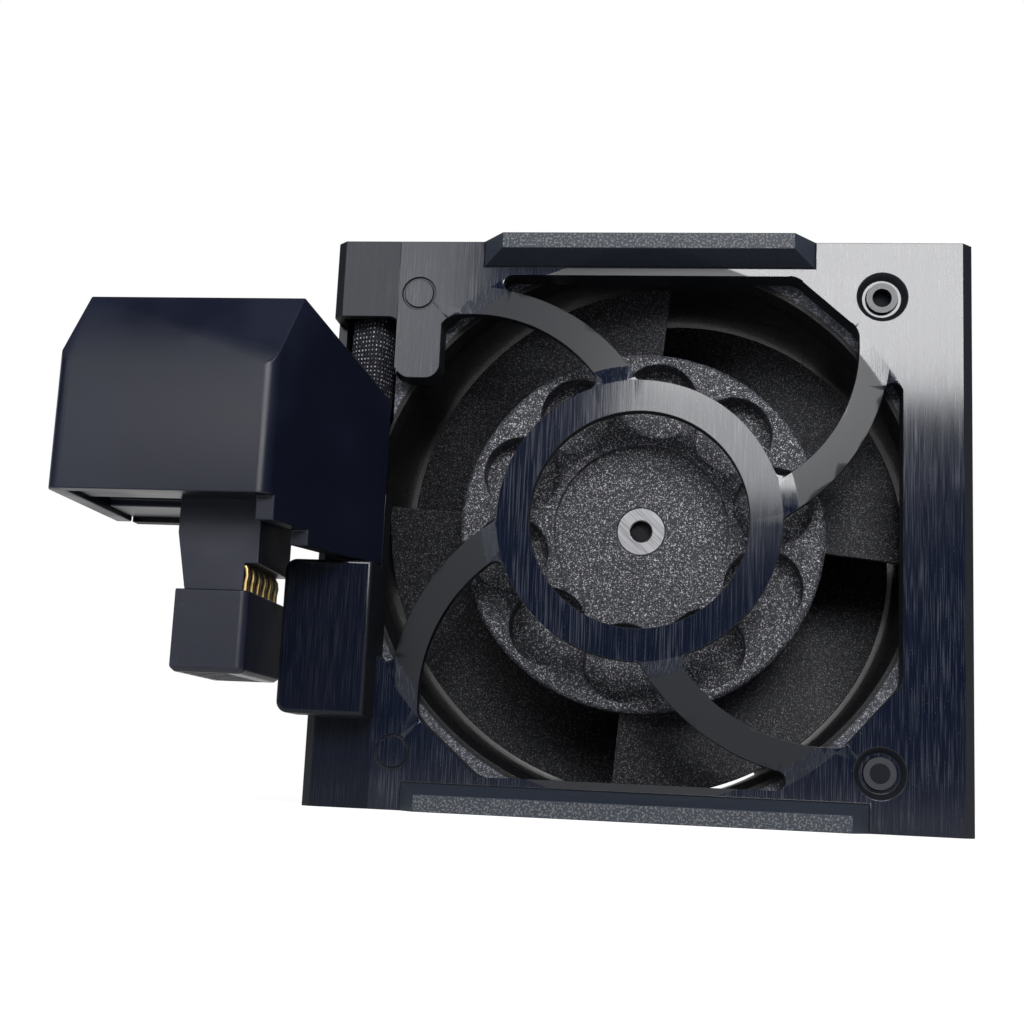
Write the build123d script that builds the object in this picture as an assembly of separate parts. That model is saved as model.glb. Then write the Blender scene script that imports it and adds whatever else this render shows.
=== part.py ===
from build123d import *
import math
import os

# Server fan module: a 60 mm axial fan in a moulded carrier with a guard, a hood and a plug.
# X points right and Y into the module, seen from the front, and Z points up. The fan's axis
# runs along Y. The origin is on the base, below that axis, on the plate's front plane.
# Every piece is drawn about the fan's axis and raised when it is written.

# Fan size and carrier
FAN_SIZE = 60.0
CARRIER_GAP = 0.1
SHELL_WALL = 0.9
SHELL_SIDE = 4.3
BRACKET_SIDE = 4.45
SEAM_INSET = 2.7
PLATE_THICKNESS = 3.3
PLATE_EDGE_CHAMFER = 1.0
SHELL_SIDE_SKIN = 1.5
SHELL_RIB_THICKNESS = 1.4
SHELL_RIB_SPACING = 12.0
LIP_THICKNESS = 1.1
LIP_WIDTH = 2.6
PAD_THICKNESS = 1.0

# Guard, with its curves in shares of the window's half width
WINDOW_INSET = 2.8
RING_INNER_SHARE = 0.421
RING_OUTER_SHARE = 0.5467
WINDOW_START_SHARE = -0.5368
CHAMFER_START_SHARE = 0.5882
CHAMFER_ACROSS_SHARE = 0.8309
CHAMFER_UP_SHARE = 0.7868
SPOKE_OUTER_SHARE = 0.8423
SPOKE_INNER_SHARE = 0.654
SPOKE_OUTER_ROOT_ANGLE = 91.83
SPOKE_INNER_ROOT_ANGLE = 16.95
SPOKE_COUNT = 4
SPOKE_ROOT_FILLET = 1.1
CHAMFER_FILLET = 2.2
SLOT_RADIUS = 1.0
RING_REACH = 2.5
GUARD_THICKNESS = 1.4
GUARD_FOOT_MARGIN = 3.8

# Tongue and rails
TONGUE_WIDTH = 4.9
TONGUE_LENGTH = 11.8
TONGUE_RADIUS = 1.6
RAIL_REACH = 3.0
RAIL_FACE_HEIGHT = 1.75
RAIL_SLOPE_HEIGHT = 1.2
TOP_RAIL_HALF = 15.6
TOP_RAIL_ROOT_HALF = 18.0
BOTTOM_RAIL_HALF = 22.0
BOTTOM_RAIL_ROOT_HALF = 24.0

# Fan housing
FAN_DEPTH = 38.0
FAN_CORNER_RADIUS = 3.5
FLANGE_THICKNESS = 4.2
BORE_WALL = 1.1
BELL_WALL = 0.4
BELL_DEPTH = 2.6
HOLE_INSET = 5.0
HOLE_RADIUS = 2.15
FRONT_HOLE_RADIUS = 1.75
BASE_STEP = 0.43
BASE_WALL = 1.4
BASE_FLOOR = 2.0
BASE_RIM_GAP = 0.8
BASE_HUB_WALL = 1.5
VANE_COUNT = 7
VANE_THICKNESS = 1.1
VANE_DEPTH = 8.0
VANE_CURVE_RADIUS = 11.0
VANE_ROOT = 0.5
WIRE_STRUT_WIDTH = 5.2
WIRE_STRUT_ANGLE = 146.0
WIRE_GROOVE_WIDTH = 3.2
WIRE_GROOVE_DEPTH = 3.4
CABLE_NOTCH_LOW = 4.6

# Rotor
HUB_SHARE = 0.3305
HUB_FRONT = 4.95
HUB_FRONT_WALL = 4.35
HUB_SKIRT_WALL = 1.4
HUB_LENGTH = 25.2
HUB_EDGE_RADIUS = 0.35
RECESS_SHARE = 0.4766
RECESS_DEPTH = 0.9
POCKET_COUNT = 10
POCKET_SHARE = 0.2118
POCKET_CIRCLE_SHARE = 0.7312
POCKET_DEPTH = 2.8
POCKET_FIRST_ANGLE = 84.0
BLADE_COUNT = 4
BLADE_FIRST_ANGLE = 85.0
BLADE_SWEEP = 104.0
BLADE_TIP_GAP = 0.5
BLADE_FRONT = 6.6
BLADE_BACK = 27.4
BLADE_TIP_SETBACK = 1.3
BLADE_THICKNESS = 2.1
BLADE_EDGE_THICKNESS = 0.9
BLADE_ROOT = 0.5
BLADE_SECTIONS = 7
BUSH_RADIUS = 2.6
BUSH_HOLE_RADIUS = 1.1
BUSH_HOLE_DEPTH = 1.0
BUSH_LENGTH = 6.3
PRESS_GAP = 0.02

# Motor
SHAFT_RADIUS = 1.5
SHAFT_END_GAP = 0.5
YOKE_WALL = 1.2
YOKE_END_WALL = 1.0
MAGNET_SHARE = 0.111
MAGNET_LENGTH = 14.5
AIR_GAP = 0.55
TUBE_WALL = 0.9
TUBE_FRONT = 13.0
BEARING_SHARE = 0.2017
BEARING_WIDTH = 4.0
BEARING_RING = 0.6
BEARING_RUNNING_GAP = 0.3
FRONT_BEARING_BACK = 17.4
WASHER_THICKNESS = 0.5
CLIP_THICKNESS = 0.6
CLIP_RADIUS = 2.9
CLIP_GROOVE_RADIUS = 1.2
CLIP_MOUTH = 2.0
TOOTH_COUNT = 6
TOOTH_WIDTH = 3.2
TOOTH_SHOE = 1.5
SLOT_MOUTH = 2.2
CORE_HUB_SHARE = 0.121
CORE_FRONT = 17.9
CORE_LENGTH = 10.8
CAP_THICKNESS = 0.7
COIL_THICKNESS = 1.5
COIL_CLEARANCE = 0.1
COIL_ROUNDING = 1.35
BOARD_RIM = 0.6
BOARD_THICKNESS = 1.2
BOARD_GAP = 0.6
DRIVER_SIZE = 5.0
DRIVER_HEIGHT = 1.4
REGULATOR_LENGTH = 6.0
REGULATOR_WIDTH = 4.0
REGULATOR_HEIGHT = 1.6
CAPACITOR_RADIUS = 1.6
CAPACITOR_HEIGHT = 2.4
PLUG_DISC_THICKNESS = 1.2

# Fasteners
DIMPLE_RADIUS = 2.65
DIMPLE_DEPTH = 0.9
DIMPLE_FLOOR_RADIUS = 2.1
RIVET_RADIUS = 1.65
RIVET_PIN_RADIUS = 1.0
RIVET_FLARE_RADIUS = 2.6
RIVET_FLARE_LENGTH = 1.6
RIVET_SET_BACK = 0.35
STUD_MARK_RADIUS = 1.85
STUD_MARK_GROOVE = 0.25
STUD_LENGTH = 4.0
STUD_GAP = 0.1

# Hood and side bracket
HOOD_WIDTH = 29.95
HOOD_SLANT = 7.7
HOOD_DEPTH = 19.45
HOOD_BOTTOM = -1.4
HOOD_FACE_TOP = 11.3
HOOD_PEAK_HEIGHT = 19.3
HOOD_PEAK_SETBACK = 3.9
HOOD_REAR_TOP = 12.6
HOOD_WALL = 1.7
HOOD_EDGE_RADIUS = 1.6
HOOD_LEAN = 1.4
SKIRT_FRONT = 18.0
SKIRT_STEP = 12.6
SKIRT_STEP_BOTTOM = -3.8
SKIRT_BOTTOM = -5.4
NOTCH_DROP = 8.7
NOTCH_BOTTOM = 2.0
NOTCH_RADIUS = 1.4
NOTCH_OVERRUN = 0.4
FOOT_WIDTH = 9.2
FOOT_REACH = 5.0
FOOT_TOP = -5.6
FOOT_BOTTOM = -21.6
FOOT_RADIUS = 1.2
BRACKET_SKIN = 1.0
BRACKET_RIBS = 3
BACK_PLATE_THICKNESS = 1.6
BACK_PLATE_GAP = 0.1
MARGIN_FACE = 1.2
CABLE_MOUTH_WIDTH = 12.1
CABLE_MOUTH_BACK = 9.0
CABLE_MOUTH_LOW = 4.6
HOLDER_THICKNESS = 1.8
HOLDER_SET_UP = 0.5
HOLDER_RECESS = 0.8
HOLDER_RECESS_FRONT = 12.2
HOLDER_RECESS_BACK = 7.0

# Plug
PLUG_OFFSET = 10.2
PLUG_WIDTH = 7.5
PLUG_FRONT = 14.0
PLUG_BACK = 0.4
PLUG_BOTTOM = -18.4
PLUG_SHELF = -10.2
PLUG_INSET = 0.9
PLUG_TOP = 2.4
PLUG_EDGE_RADIUS = 0.9
PLUG_BODY_OVERHANG = 0.5
PLUG_TAPER = 1.1
PLUG_TAPER_TOP = -4.4
PLUG_COLLAR_HEIGHT = 1.0
PLUG_COLLAR_REACH = 1.2
PLUG_GAP = 0.1
CONTACT_COUNT = 6
CONTACT_PITCH = 2.1
CONTACT_WIDTH = 0.8
CONTACT_THICKNESS = 0.4
CONTACT_TOP = -7.4
CONTACT_SLOT_DEPTH = 6.0

# Hood screws
SCREW_BOSS_RADIUS = 1.9
SCREW_RADIUS = 0.95
SCREW_LENGTH = 6.0
SCREW_HEAD_RADIUS = 1.8
SCREW_HEAD_HEIGHT = 1.1
SCREW_CLEARANCE = 1.0
SCREW_DROP = 4.0

# Leads and sleeve
SLEEVE_RADIUS = 2.6
SLEEVE_CLEARANCE = 0.4
SLEEVE_DEPTH = 3.9
SLEEVE_DROP = 3.7
SLEEVE_START_LENGTH = 3.3
SLEEVE_CROSSING = 7.9
SLEEVE_END_GAP = 2.2
SLEEVE_BENDS = [3.0, 5.0, 6.0, 3.2]
LEAD_RADIUS = 0.55
LEAD_PITCH = 1.2
LEAD_DEPTH = 1.0

FAN_HALF = FAN_SIZE / 2
HALF_HEIGHT = FAN_HALF + CARRIER_GAP + SHELL_WALL
MODULE_HEIGHT = 2 * HALF_HEIGHT
AXIS_HEIGHT = HALF_HEIGHT
PLATE_WIDTH_RIGHT = FAN_HALF + CARRIER_GAP + SHELL_SIDE
PLATE_WIDTH_LEFT = FAN_HALF - SEAM_INSET
MODULE_LEFT = FAN_HALF + CARRIER_GAP + BRACKET_SIDE
MODULE_DEPTH = PLATE_THICKNESS + FAN_DEPTH + PAD_THICKNESS + LIP_THICKNESS
WINDOW_HALF = FAN_HALF - WINDOW_INSET
RING_INNER_RADIUS = WINDOW_HALF * RING_INNER_SHARE
RING_OUTER_RADIUS = WINDOW_HALF * RING_OUTER_SHARE
SPOKE_OUTER_RADIUS = WINDOW_HALF * SPOKE_OUTER_SHARE
SPOKE_INNER_RADIUS = WINDOW_HALF * SPOKE_INNER_SHARE
WINDOW_START = WINDOW_HALF * WINDOW_START_SHARE
CHAMFER_START = WINDOW_HALF * CHAMFER_START_SHARE
CHAMFER_ACROSS = WINDOW_HALF * CHAMFER_ACROSS_SHARE
CHAMFER_UP = WINDOW_HALF * CHAMFER_UP_SHARE
GUARD_FOOT_RADIUS = WINDOW_HALF + GUARD_FOOT_MARGIN
FAN_FRONT = PLATE_THICKNESS
FAN_BACK = FAN_FRONT + FAN_DEPTH
BORE_RADIUS = FAN_HALF - BORE_WALL
BELL_RADIUS = FAN_HALF - BELL_WALL
HOLE_OFFSET = FAN_HALF - HOLE_INSET
HUB_RADIUS = FAN_SIZE * HUB_SHARE
HUB_BACK = HUB_FRONT + HUB_LENGTH
RECESS_RADIUS = HUB_RADIUS * RECESS_SHARE
POCKET_RADIUS = HUB_RADIUS * POCKET_SHARE
POCKET_CIRCLE = HUB_RADIUS * POCKET_CIRCLE_SHARE
BASE_RADIUS = HUB_RADIUS - BASE_STEP
BEARING_RADIUS = HUB_RADIUS * BEARING_SHARE
MAGNET_THICKNESS = HUB_RADIUS * MAGNET_SHARE
CORE_HUB_WALL = HUB_RADIUS * CORE_HUB_SHARE
BASE_FRONT = HUB_BACK + BASE_RIM_GAP
BASE_FLOOR_FRONT = FAN_BACK - BASE_FLOOR
YOKE_RADIUS = HUB_RADIUS - HUB_SKIRT_WALL - PRESS_GAP
YOKE_FRONT = HUB_FRONT + HUB_FRONT_WALL
YOKE_BACK = HUB_BACK - PRESS_GAP
MAGNET_OUTER_RADIUS = YOKE_RADIUS - YOKE_WALL - PRESS_GAP
MAGNET_INNER_RADIUS = MAGNET_OUTER_RADIUS - MAGNET_THICKNESS
CORE_RADIUS = MAGNET_INNER_RADIUS - AIR_GAP
CORE_BACK = CORE_FRONT + CORE_LENGTH
TUBE_OUTER_RADIUS = BEARING_RADIUS + PRESS_GAP + TUBE_WALL
BLADE_TIP_RADIUS = BORE_RADIUS - BLADE_TIP_GAP
BUSH_FRONT = HUB_FRONT + RECESS_DEPTH
BUSH_BACK = BUSH_FRONT + BUSH_LENGTH
FRONT_BEARING_FRONT = FRONT_BEARING_BACK - BEARING_WIDTH
BOARD_RADIUS = BASE_RADIUS - BASE_WALL - BOARD_RIM
BOARD_FRONT = BASE_FRONT + BOARD_GAP
BOARD_BACK = BOARD_FRONT + BOARD_THICKNESS
REAR_BEARING_FRONT = BOARD_BACK
REAR_BEARING_BACK = REAR_BEARING_FRONT + BEARING_WIDTH
CLIP_FRONT = REAR_BEARING_BACK + PRESS_GAP
SHAFT_BACK = BASE_FLOOR_FRONT - SHAFT_END_GAP
INNER_RING_RADIUS = SHAFT_RADIUS + PRESS_GAP + BEARING_RING
SHIELD_RADIUS = INNER_RING_RADIUS + BEARING_RUNNING_GAP
WIRE_GROOVE_FRONT = FAN_BACK - VANE_DEPTH
LEAD_AXIS = WIRE_GROOVE_FRONT + WIRE_GROOVE_DEPTH / 2
HOOD_LEFT = PLATE_WIDTH_LEFT + HOOD_WIDTH
HOOD_FRONT_RIGHT = PLATE_WIDTH_LEFT + HOOD_SLANT
NOTCH_TOP = HALF_HEIGHT - NOTCH_DROP
FOOT_LEFT = PLATE_WIDTH_LEFT + FOOT_WIDTH
CABLE_MOUTH_LEFT = PLATE_WIDTH_LEFT + CABLE_MOUTH_WIDTH
PLUG_RIGHT = PLATE_WIDTH_LEFT + PLUG_OFFSET
PLUG_LEFT = PLUG_RIGHT + PLUG_WIDTH
PLUG_BODY_LEFT = PLUG_LEFT + PLUG_BODY_OVERHANG
PLUG_BODY_RIGHT = PLUG_RIGHT - PLUG_BODY_OVERHANG
PLUG_MIDDLE = (PLUG_BODY_LEFT + PLUG_BODY_RIGHT) / 2
PLUG_MIDDLE_DEPTH = (PLUG_FRONT + PLUG_BACK) / 2
SLEEVE_SIDE = MODULE_LEFT - BRACKET_SKIN - SLEEVE_RADIUS - SLEEVE_CLEARANCE


def turned(*points):
    """A body of revolution about the fan's axis, from corners of radius and depth."""
    return revolve(make_face(Polyline(*points, close=True)), axis=Axis.Y)


def tube(inner, outer, front, back):
    """A straight ring, or a disc when the inner radius is zero."""
    return turned((inner, front), (outer, front), (outer, back), (inner, back))


def slab(outline, front, back):
    """A flat outline in X and Z, carried from one depth to another."""
    return Pos(0, front, 0) * extrude(Plane.XZ * outline, amount=back - front, dir=(0, 1, 0))


def box(x_low, x_high, front, back, z_low, z_high):
    """A block between two corners."""
    size = (x_high - x_low, back - front, z_high - z_low)
    middle = ((x_low + x_high) / 2, (front + back) / 2, (z_low + z_high) / 2)
    return Pos(*middle) * Box(*size)


def about_axis(shape, angle):
    """The shape turned counter-clockwise about the fan's axis, seen from the front."""
    return Rot(0, -angle, 0) * shape


def around(shape, count, first=0.0):
    """Equal copies of a shape about the fan's axis."""
    return [about_axis(shape, first + 360.0 * i / count) for i in range(count)]


def outline(*points):
    """A flat face in X and Z from its corners."""
    return make_face(Polyline(*points, close=True))


def on_ring(angle):
    """A point on the guard ring's outer edge."""
    turn = math.radians(angle)
    return (RING_OUTER_RADIUS * math.cos(turn), RING_OUTER_RADIUS * math.sin(turn))


def outer_spoke_disc():
    """The disc whose edge is a spoke's outer edge, from the ring to the end of its slot."""
    root = on_ring(SPOKE_OUTER_ROOT_ANGLE)
    end = (WINDOW_START, WINDOW_HALF - 2 * SLOT_RADIUS)
    across = (end[0] - root[0]) / 2
    up = (end[1] - root[1]) / 2
    half_chord = math.hypot(across, up)
    back = math.sqrt(SPOKE_OUTER_RADIUS**2 - half_chord**2) / half_chord
    centre = (root[0] + across - up * back, root[1] + up + across * back)
    return Pos(*centre) * Circle(SPOKE_OUTER_RADIUS)


def inner_spoke_centre():
    """The centre of a spoke's inner edge, which starts on the ring and ends along the window."""
    root = on_ring(SPOKE_INNER_ROOT_ANGLE)
    across = CHAMFER_ACROSS - SPOKE_INNER_RADIUS
    return (across, root[1] + math.sqrt(SPOKE_INNER_RADIUS**2 - (root[0] - across) ** 2))


def window_outline():
    """The upper one of the four gaps between the ring, two spokes and the plate."""
    far_left = -WINDOW_HALF - SPOKE_OUTER_RADIUS
    field = outline(
        (far_left, 0),
        (far_left, WINDOW_HALF),
        (CHAMFER_START, WINDOW_HALF),
        (CHAMFER_ACROSS, CHAMFER_UP),
        (CHAMFER_ACROSS, 0),
    )
    field -= outer_spoke_disc()
    centre = inner_spoke_centre()
    disc = Pos(*centre) * Circle(SPOKE_INNER_RADIUS)
    above_disc = outline(
        (far_left, centre[1]),
        (CHAMFER_ACROSS, centre[1]),
        (CHAMFER_ACROSS, WINDOW_HALF),
        (far_left, WINDOW_HALF),
    )
    field = (field & disc) + (field & above_disc)
    field -= Circle(RING_OUTER_RADIUS)
    field -= outline(
        (far_left, 0),
        (WINDOW_START, 0),
        (WINDOW_START, WINDOW_HALF),
        (far_left, WINDOW_HALF),
    )
    field += Pos(WINDOW_START, WINDOW_HALF - SLOT_RADIUS) * Circle(SLOT_RADIUS)
    return field


def window():
    """The cutter of one guard gap, with rounded plate corners and spoke roots."""
    field = max(window_outline().faces(), key=lambda face: face.area)
    plate_corners = [
        vertex
        for vertex in field.vertices()
        if vertex.X > CHAMFER_START - SLOT_RADIUS and vertex.Y > CHAMFER_UP - SLOT_RADIUS
    ]
    field = fillet(plate_corners, CHAMFER_FILLET)
    ring_corners = [
        vertex
        for vertex in field.vertices()
        if abs(math.hypot(vertex.X, vertex.Y) - RING_OUTER_RADIUS) < SLOT_RADIUS / 2
    ]
    return fillet(ring_corners, SPOKE_ROOT_FILLET)


def rail(half, root_half, upwards):
    """A guide rail along the plate's edge, with sloped ends and a sloped inner side."""
    side = 1 if upwards else -1
    edge = HALF_HEIGHT * side
    inner = edge - RAIL_FACE_HEIGHT * side
    root = inner - RAIL_SLOPE_HEIGHT * side
    profile = Polyline((0, edge), (-RAIL_REACH, edge), (-RAIL_REACH, inner), (0, root), close=True)
    bar = extrude(Plane.YZ * make_face(profile), amount=root_half, both=True)
    plan = Polyline((-root_half, 0), (root_half, 0), (half, -RAIL_REACH), (-half, -RAIL_REACH), close=True)
    return bar & extrude(make_face(plan), amount=MODULE_HEIGHT, both=True)


def front_guard():
    """The plate with its guard, tongue, rails, stud marks, studs and rivet dimples."""
    width = PLATE_WIDTH_LEFT + PLATE_WIDTH_RIGHT
    middle = (PLATE_WIDTH_RIGHT - PLATE_WIDTH_LEFT) / 2
    sheet = Pos(middle, 0) * Rectangle(width, MODULE_HEIGHT)
    field = Rectangle(2 * WINDOW_HALF, 2 * WINDOW_HALF)
    gap = window()
    gaps = [Rot(0, 0, 360.0 * i / SPOKE_COUNT) * gap for i in range(SPOKE_COUNT)]
    seam_web = Pos(-PLATE_WIDTH_LEFT, (WINDOW_START + CHAMFER_START) / 2) * Rectangle(
        4 * (WINDOW_INSET - SEAM_INSET), CHAMFER_START - WINDOW_START + SLOT_RADIUS
    )
    dished = field & Circle(GUARD_FOOT_RADIUS)
    plate = slab(sheet - gaps - dished - seam_web, 0, PLATE_THICKNESS)
    plate = chamfer(plate.edges().filter_by(Axis.Z).group_by(Axis.X)[-1].sort_by(Axis.Y)[0], PLATE_EDGE_CHAMFER)
    dish = turned(
        (RING_INNER_RADIUS, -RING_REACH),
        (RING_OUTER_RADIUS, -RING_REACH),
        (GUARD_FOOT_RADIUS, 0),
        (GUARD_FOOT_RADIUS, GUARD_THICKNESS),
        (RING_OUTER_RADIUS, GUARD_THICKNESS - RING_REACH),
        (RING_INNER_RADIUS, GUARD_THICKNESS - RING_REACH),
    )
    dish &= slab(field - gaps - seam_web, -RAIL_REACH, PLATE_THICKNESS)
    tongue = Pos(-WINDOW_HALF + TONGUE_WIDTH / 2, WINDOW_HALF - TONGUE_LENGTH / 2) * Rectangle(
        TONGUE_WIDTH, TONGUE_LENGTH
    )
    tongue = fillet(tongue.vertices().group_by(Axis.Y)[0], TONGUE_RADIUS)
    guard = plate + dish + slab(tongue, 0, PLATE_THICKNESS)
    guard += rail(TOP_RAIL_HALF, TOP_RAIL_ROOT_HALF, True)
    guard += rail(BOTTOM_RAIL_HALF, BOTTOM_RAIL_ROOT_HALF, False)
    for z in (HOLE_OFFSET, -HOLE_OFFSET):
        mark = tube(STUD_MARK_RADIUS - STUD_MARK_GROOVE, STUD_MARK_RADIUS, 0, STUD_MARK_GROOVE)
        stud = tube(0, FRONT_HOLE_RADIUS - STUD_GAP, PLATE_THICKNESS, PLATE_THICKNESS + STUD_LENGTH)
        guard = guard - Pos(-HOLE_OFFSET, 0, z) * mark + Pos(-HOLE_OFFSET, 0, z) * stud
        dimple = turned(
            (0, 0),
            (DIMPLE_RADIUS, 0),
            (DIMPLE_FLOOR_RADIUS, DIMPLE_DEPTH),
            (RIVET_RADIUS + PRESS_GAP, DIMPLE_DEPTH),
            (RIVET_RADIUS + PRESS_GAP, PLATE_THICKNESS),
            (0, PLATE_THICKNESS),
        )
        guard -= Pos(HOLE_OFFSET, 0, z) * dimple
    return guard


def carrier_shell():
    """The right, top and bottom walls behind the plate, and the lip that holds the fan."""
    left = -PLATE_WIDTH_LEFT
    right = PLATE_WIDTH_RIGHT
    front = PLATE_THICKNESS
    inner = FAN_HALF + CARRIER_GAP
    shell = box(left, right, front, MODULE_DEPTH, -HALF_HEIGHT, HALF_HEIGHT)
    shell -= box(left, inner, front, MODULE_DEPTH - LIP_THICKNESS, -inner, inner)
    opening = inner - LIP_WIDTH
    shell -= box(left, opening, front, MODULE_DEPTH, -opening, opening)
    first = front + SHELL_RIB_THICKNESS
    last = MODULE_DEPTH - LIP_THICKNESS
    bays = round((last - first) / SHELL_RIB_SPACING)
    pitch = (last - first) / bays
    for i in range(bays):
        start = first + i * pitch
        end = start + pitch - SHELL_RIB_THICKNESS
        shell -= box(inner, right - SHELL_SIDE_SKIN, start, end, -inner, inner)
    corner = shell.edges().filter_by(Axis.Y).group_by(Axis.X)[-1]
    shell = chamfer(corner, SHELL_WALL / 2)
    return shell


def side_bracket():
    """The left margin and side wall, with the cable notch, the foot and the hood's back plate."""
    left = -MODULE_LEFT
    right = -PLATE_WIDTH_LEFT
    inner = FAN_HALF + CARRIER_GAP
    body = box(left, right, 0, MODULE_DEPTH, -HALF_HEIGHT, HALF_HEIGHT)
    body -= box(left + BRACKET_SKIN, right, PLATE_THICKNESS, MODULE_DEPTH - LIP_THICKNESS, -inner, inner)
    opening = inner - LIP_WIDTH
    body -= box(-opening, right, PLATE_THICKNESS, MODULE_DEPTH, -opening, opening)
    rib = box(left + BRACKET_SKIN, -inner, PLATE_THICKNESS, MODULE_DEPTH - LIP_THICKNESS, 0, SHELL_RIB_THICKNESS)
    for step in range(BRACKET_RIBS):
        body += Pos(0, 0, -inner * step / BRACKET_RIBS) * rib
    notch = Pos(left, (NOTCH_TOP + NOTCH_BOTTOM) / 2) * Rectangle(
        2 * (right - left + NOTCH_OVERRUN), NOTCH_TOP - NOTCH_BOTTOM
    )
    notch = fillet(notch.vertices().group_by(Axis.X)[-1], NOTCH_RADIUS)
    body -= slab(notch, 0, PLATE_THICKNESS)
    body -= box(
        left + BRACKET_SKIN,
        -SLEEVE_SIDE + SLEEVE_RADIUS + SLEEVE_CLEARANCE / 2,
        MARGIN_FACE,
        PLATE_THICKNESS,
        (NOTCH_TOP + NOTCH_BOTTOM) / 2,
        inner,
    )
    edge = body.edges().filter_by(Axis.Z).group_by(Axis.X)[0].group_by(Axis.Y)[0]
    body = chamfer(edge, PLATE_EDGE_CHAMFER)
    foot = box(-FOOT_LEFT, right, -FOOT_REACH, 0, FOOT_BOTTOM, FOOT_TOP)
    foot = fillet(foot.edges().filter_by(Axis.Y).group_by(Axis.X)[0], FOOT_RADIUS)
    foot = fillet(foot.edges().group_by(Axis.Y)[0], FOOT_RADIUS / 3)
    body += foot
    inside = HOOD_LEFT - HOOD_WALL - BACK_PLATE_GAP
    back_top = HOOD_REAR_TOP - HOOD_WALL - BACK_PLATE_GAP
    plate = box(-inside, left, 0, BACK_PLATE_THICKNESS, HOOD_BOTTOM, back_top)
    for x, z in hood_screw_places():
        plate -= Pos(x, 0, z) * tube(0, SCREW_RADIUS + PRESS_GAP, 0, BACK_PLATE_THICKNESS)
    mouth = box(-CABLE_MOUTH_LEFT, -inner, 0, CABLE_MOUTH_BACK, CABLE_MOUTH_LOW, HOOD_REAR_TOP)
    return body + plate - mouth


def hood_form(inset):
    """The hood's outer form, or its hollow when it is drawn in by the wall."""
    slope = (HOOD_FRONT_RIGHT - PLATE_WIDTH_LEFT) / HOOD_DEPTH
    lean = inset * math.hypot(1, slope)
    front = -HOOD_DEPTH + inset
    left = -HOOD_LEFT + inset
    right_front = -HOOD_FRONT_RIGHT - lean + slope * inset
    right_back = -PLATE_WIDTH_LEFT - lean
    plan = make_face(Polyline((left, front), (right_front, front), (right_back, 0), (left, 0), close=True))
    height = HOOD_PEAK_HEIGHT - HOOD_BOTTOM
    form = Pos(0, 0, HOOD_BOTTOM - inset) * extrude(plan, amount=height + inset)
    face_rise = (HOOD_PEAK_HEIGHT - HOOD_FACE_TOP) / HOOD_PEAK_SETBACK
    roof_fall = (HOOD_PEAK_HEIGHT - HOOD_REAR_TOP) / (HOOD_DEPTH - HOOD_PEAK_SETBACK)
    face_drop = inset * (math.hypot(1, face_rise) - face_rise)
    roof_drop = inset * math.hypot(1, roof_fall)
    low = HOOD_BOTTOM - inset
    front_top = HOOD_FACE_TOP - face_drop
    rear_top = HOOD_REAR_TOP - roof_drop
    peak_y = front + (rear_top + roof_fall * (HOOD_DEPTH - inset) - front_top) / (face_rise + roof_fall)
    peak_z = front_top + face_rise * (peak_y - front)
    side = Polyline((front, low), (front, front_top), (peak_y, peak_z), (0, rear_top), (0, low), close=True)
    form &= extrude(Plane.YZ * make_face(side), amount=HOOD_LEFT, both=True)
    lean_rise = HOOD_PEAK_HEIGHT - HOOD_FACE_TOP
    elevation = outline(
        (left, low),
        (left, HOOD_FACE_TOP),
        (left + HOOD_LEAN, HOOD_FACE_TOP + lean_rise),
        (0, HOOD_FACE_TOP + lean_rise),
        (0, low),
    )
    return form & slab(elevation, -HOOD_DEPTH, 0)


def cable_hood():
    """The hood over the plug, with its slanted right wall and the skirt below that wall."""
    hood = hood_form(0)
    upright = hood.edges().filter_by(Axis.Z).group_by(Axis.Y)[0]
    hood = fillet(upright, HOOD_EDGE_RADIUS)
    slope = (HOOD_FRONT_RIGHT - PLATE_WIDTH_LEFT) / HOOD_DEPTH
    wall_across = HOOD_WALL * math.hypot(1, slope)
    skirt_plan = make_face(
        Polyline(
            (-PLATE_WIDTH_LEFT - slope * SKIRT_FRONT, -SKIRT_FRONT),
            (-PLATE_WIDTH_LEFT, 0),
            (-PLATE_WIDTH_LEFT - wall_across, 0),
            (-PLATE_WIDTH_LEFT - wall_across - slope * SKIRT_FRONT, -SKIRT_FRONT),
            close=True,
        )
    )
    skirt = Pos(0, 0, SKIRT_BOTTOM) * extrude(skirt_plan, amount=HOOD_BOTTOM - SKIRT_BOTTOM)
    skirt -= box(-HOOD_LEFT, 0, -HOOD_DEPTH, -SKIRT_STEP, SKIRT_BOTTOM, SKIRT_STEP_BOTTOM)
    hood = hood + skirt - hood_form(HOOD_WALL)
    boss = tube(SCREW_RADIUS + PRESS_GAP, SCREW_BOSS_RADIUS, -SCREW_LENGTH, 0)
    for x, z in hood_screw_places():
        hood += Pos(x, 0, z) * boss
    return hood


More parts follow.
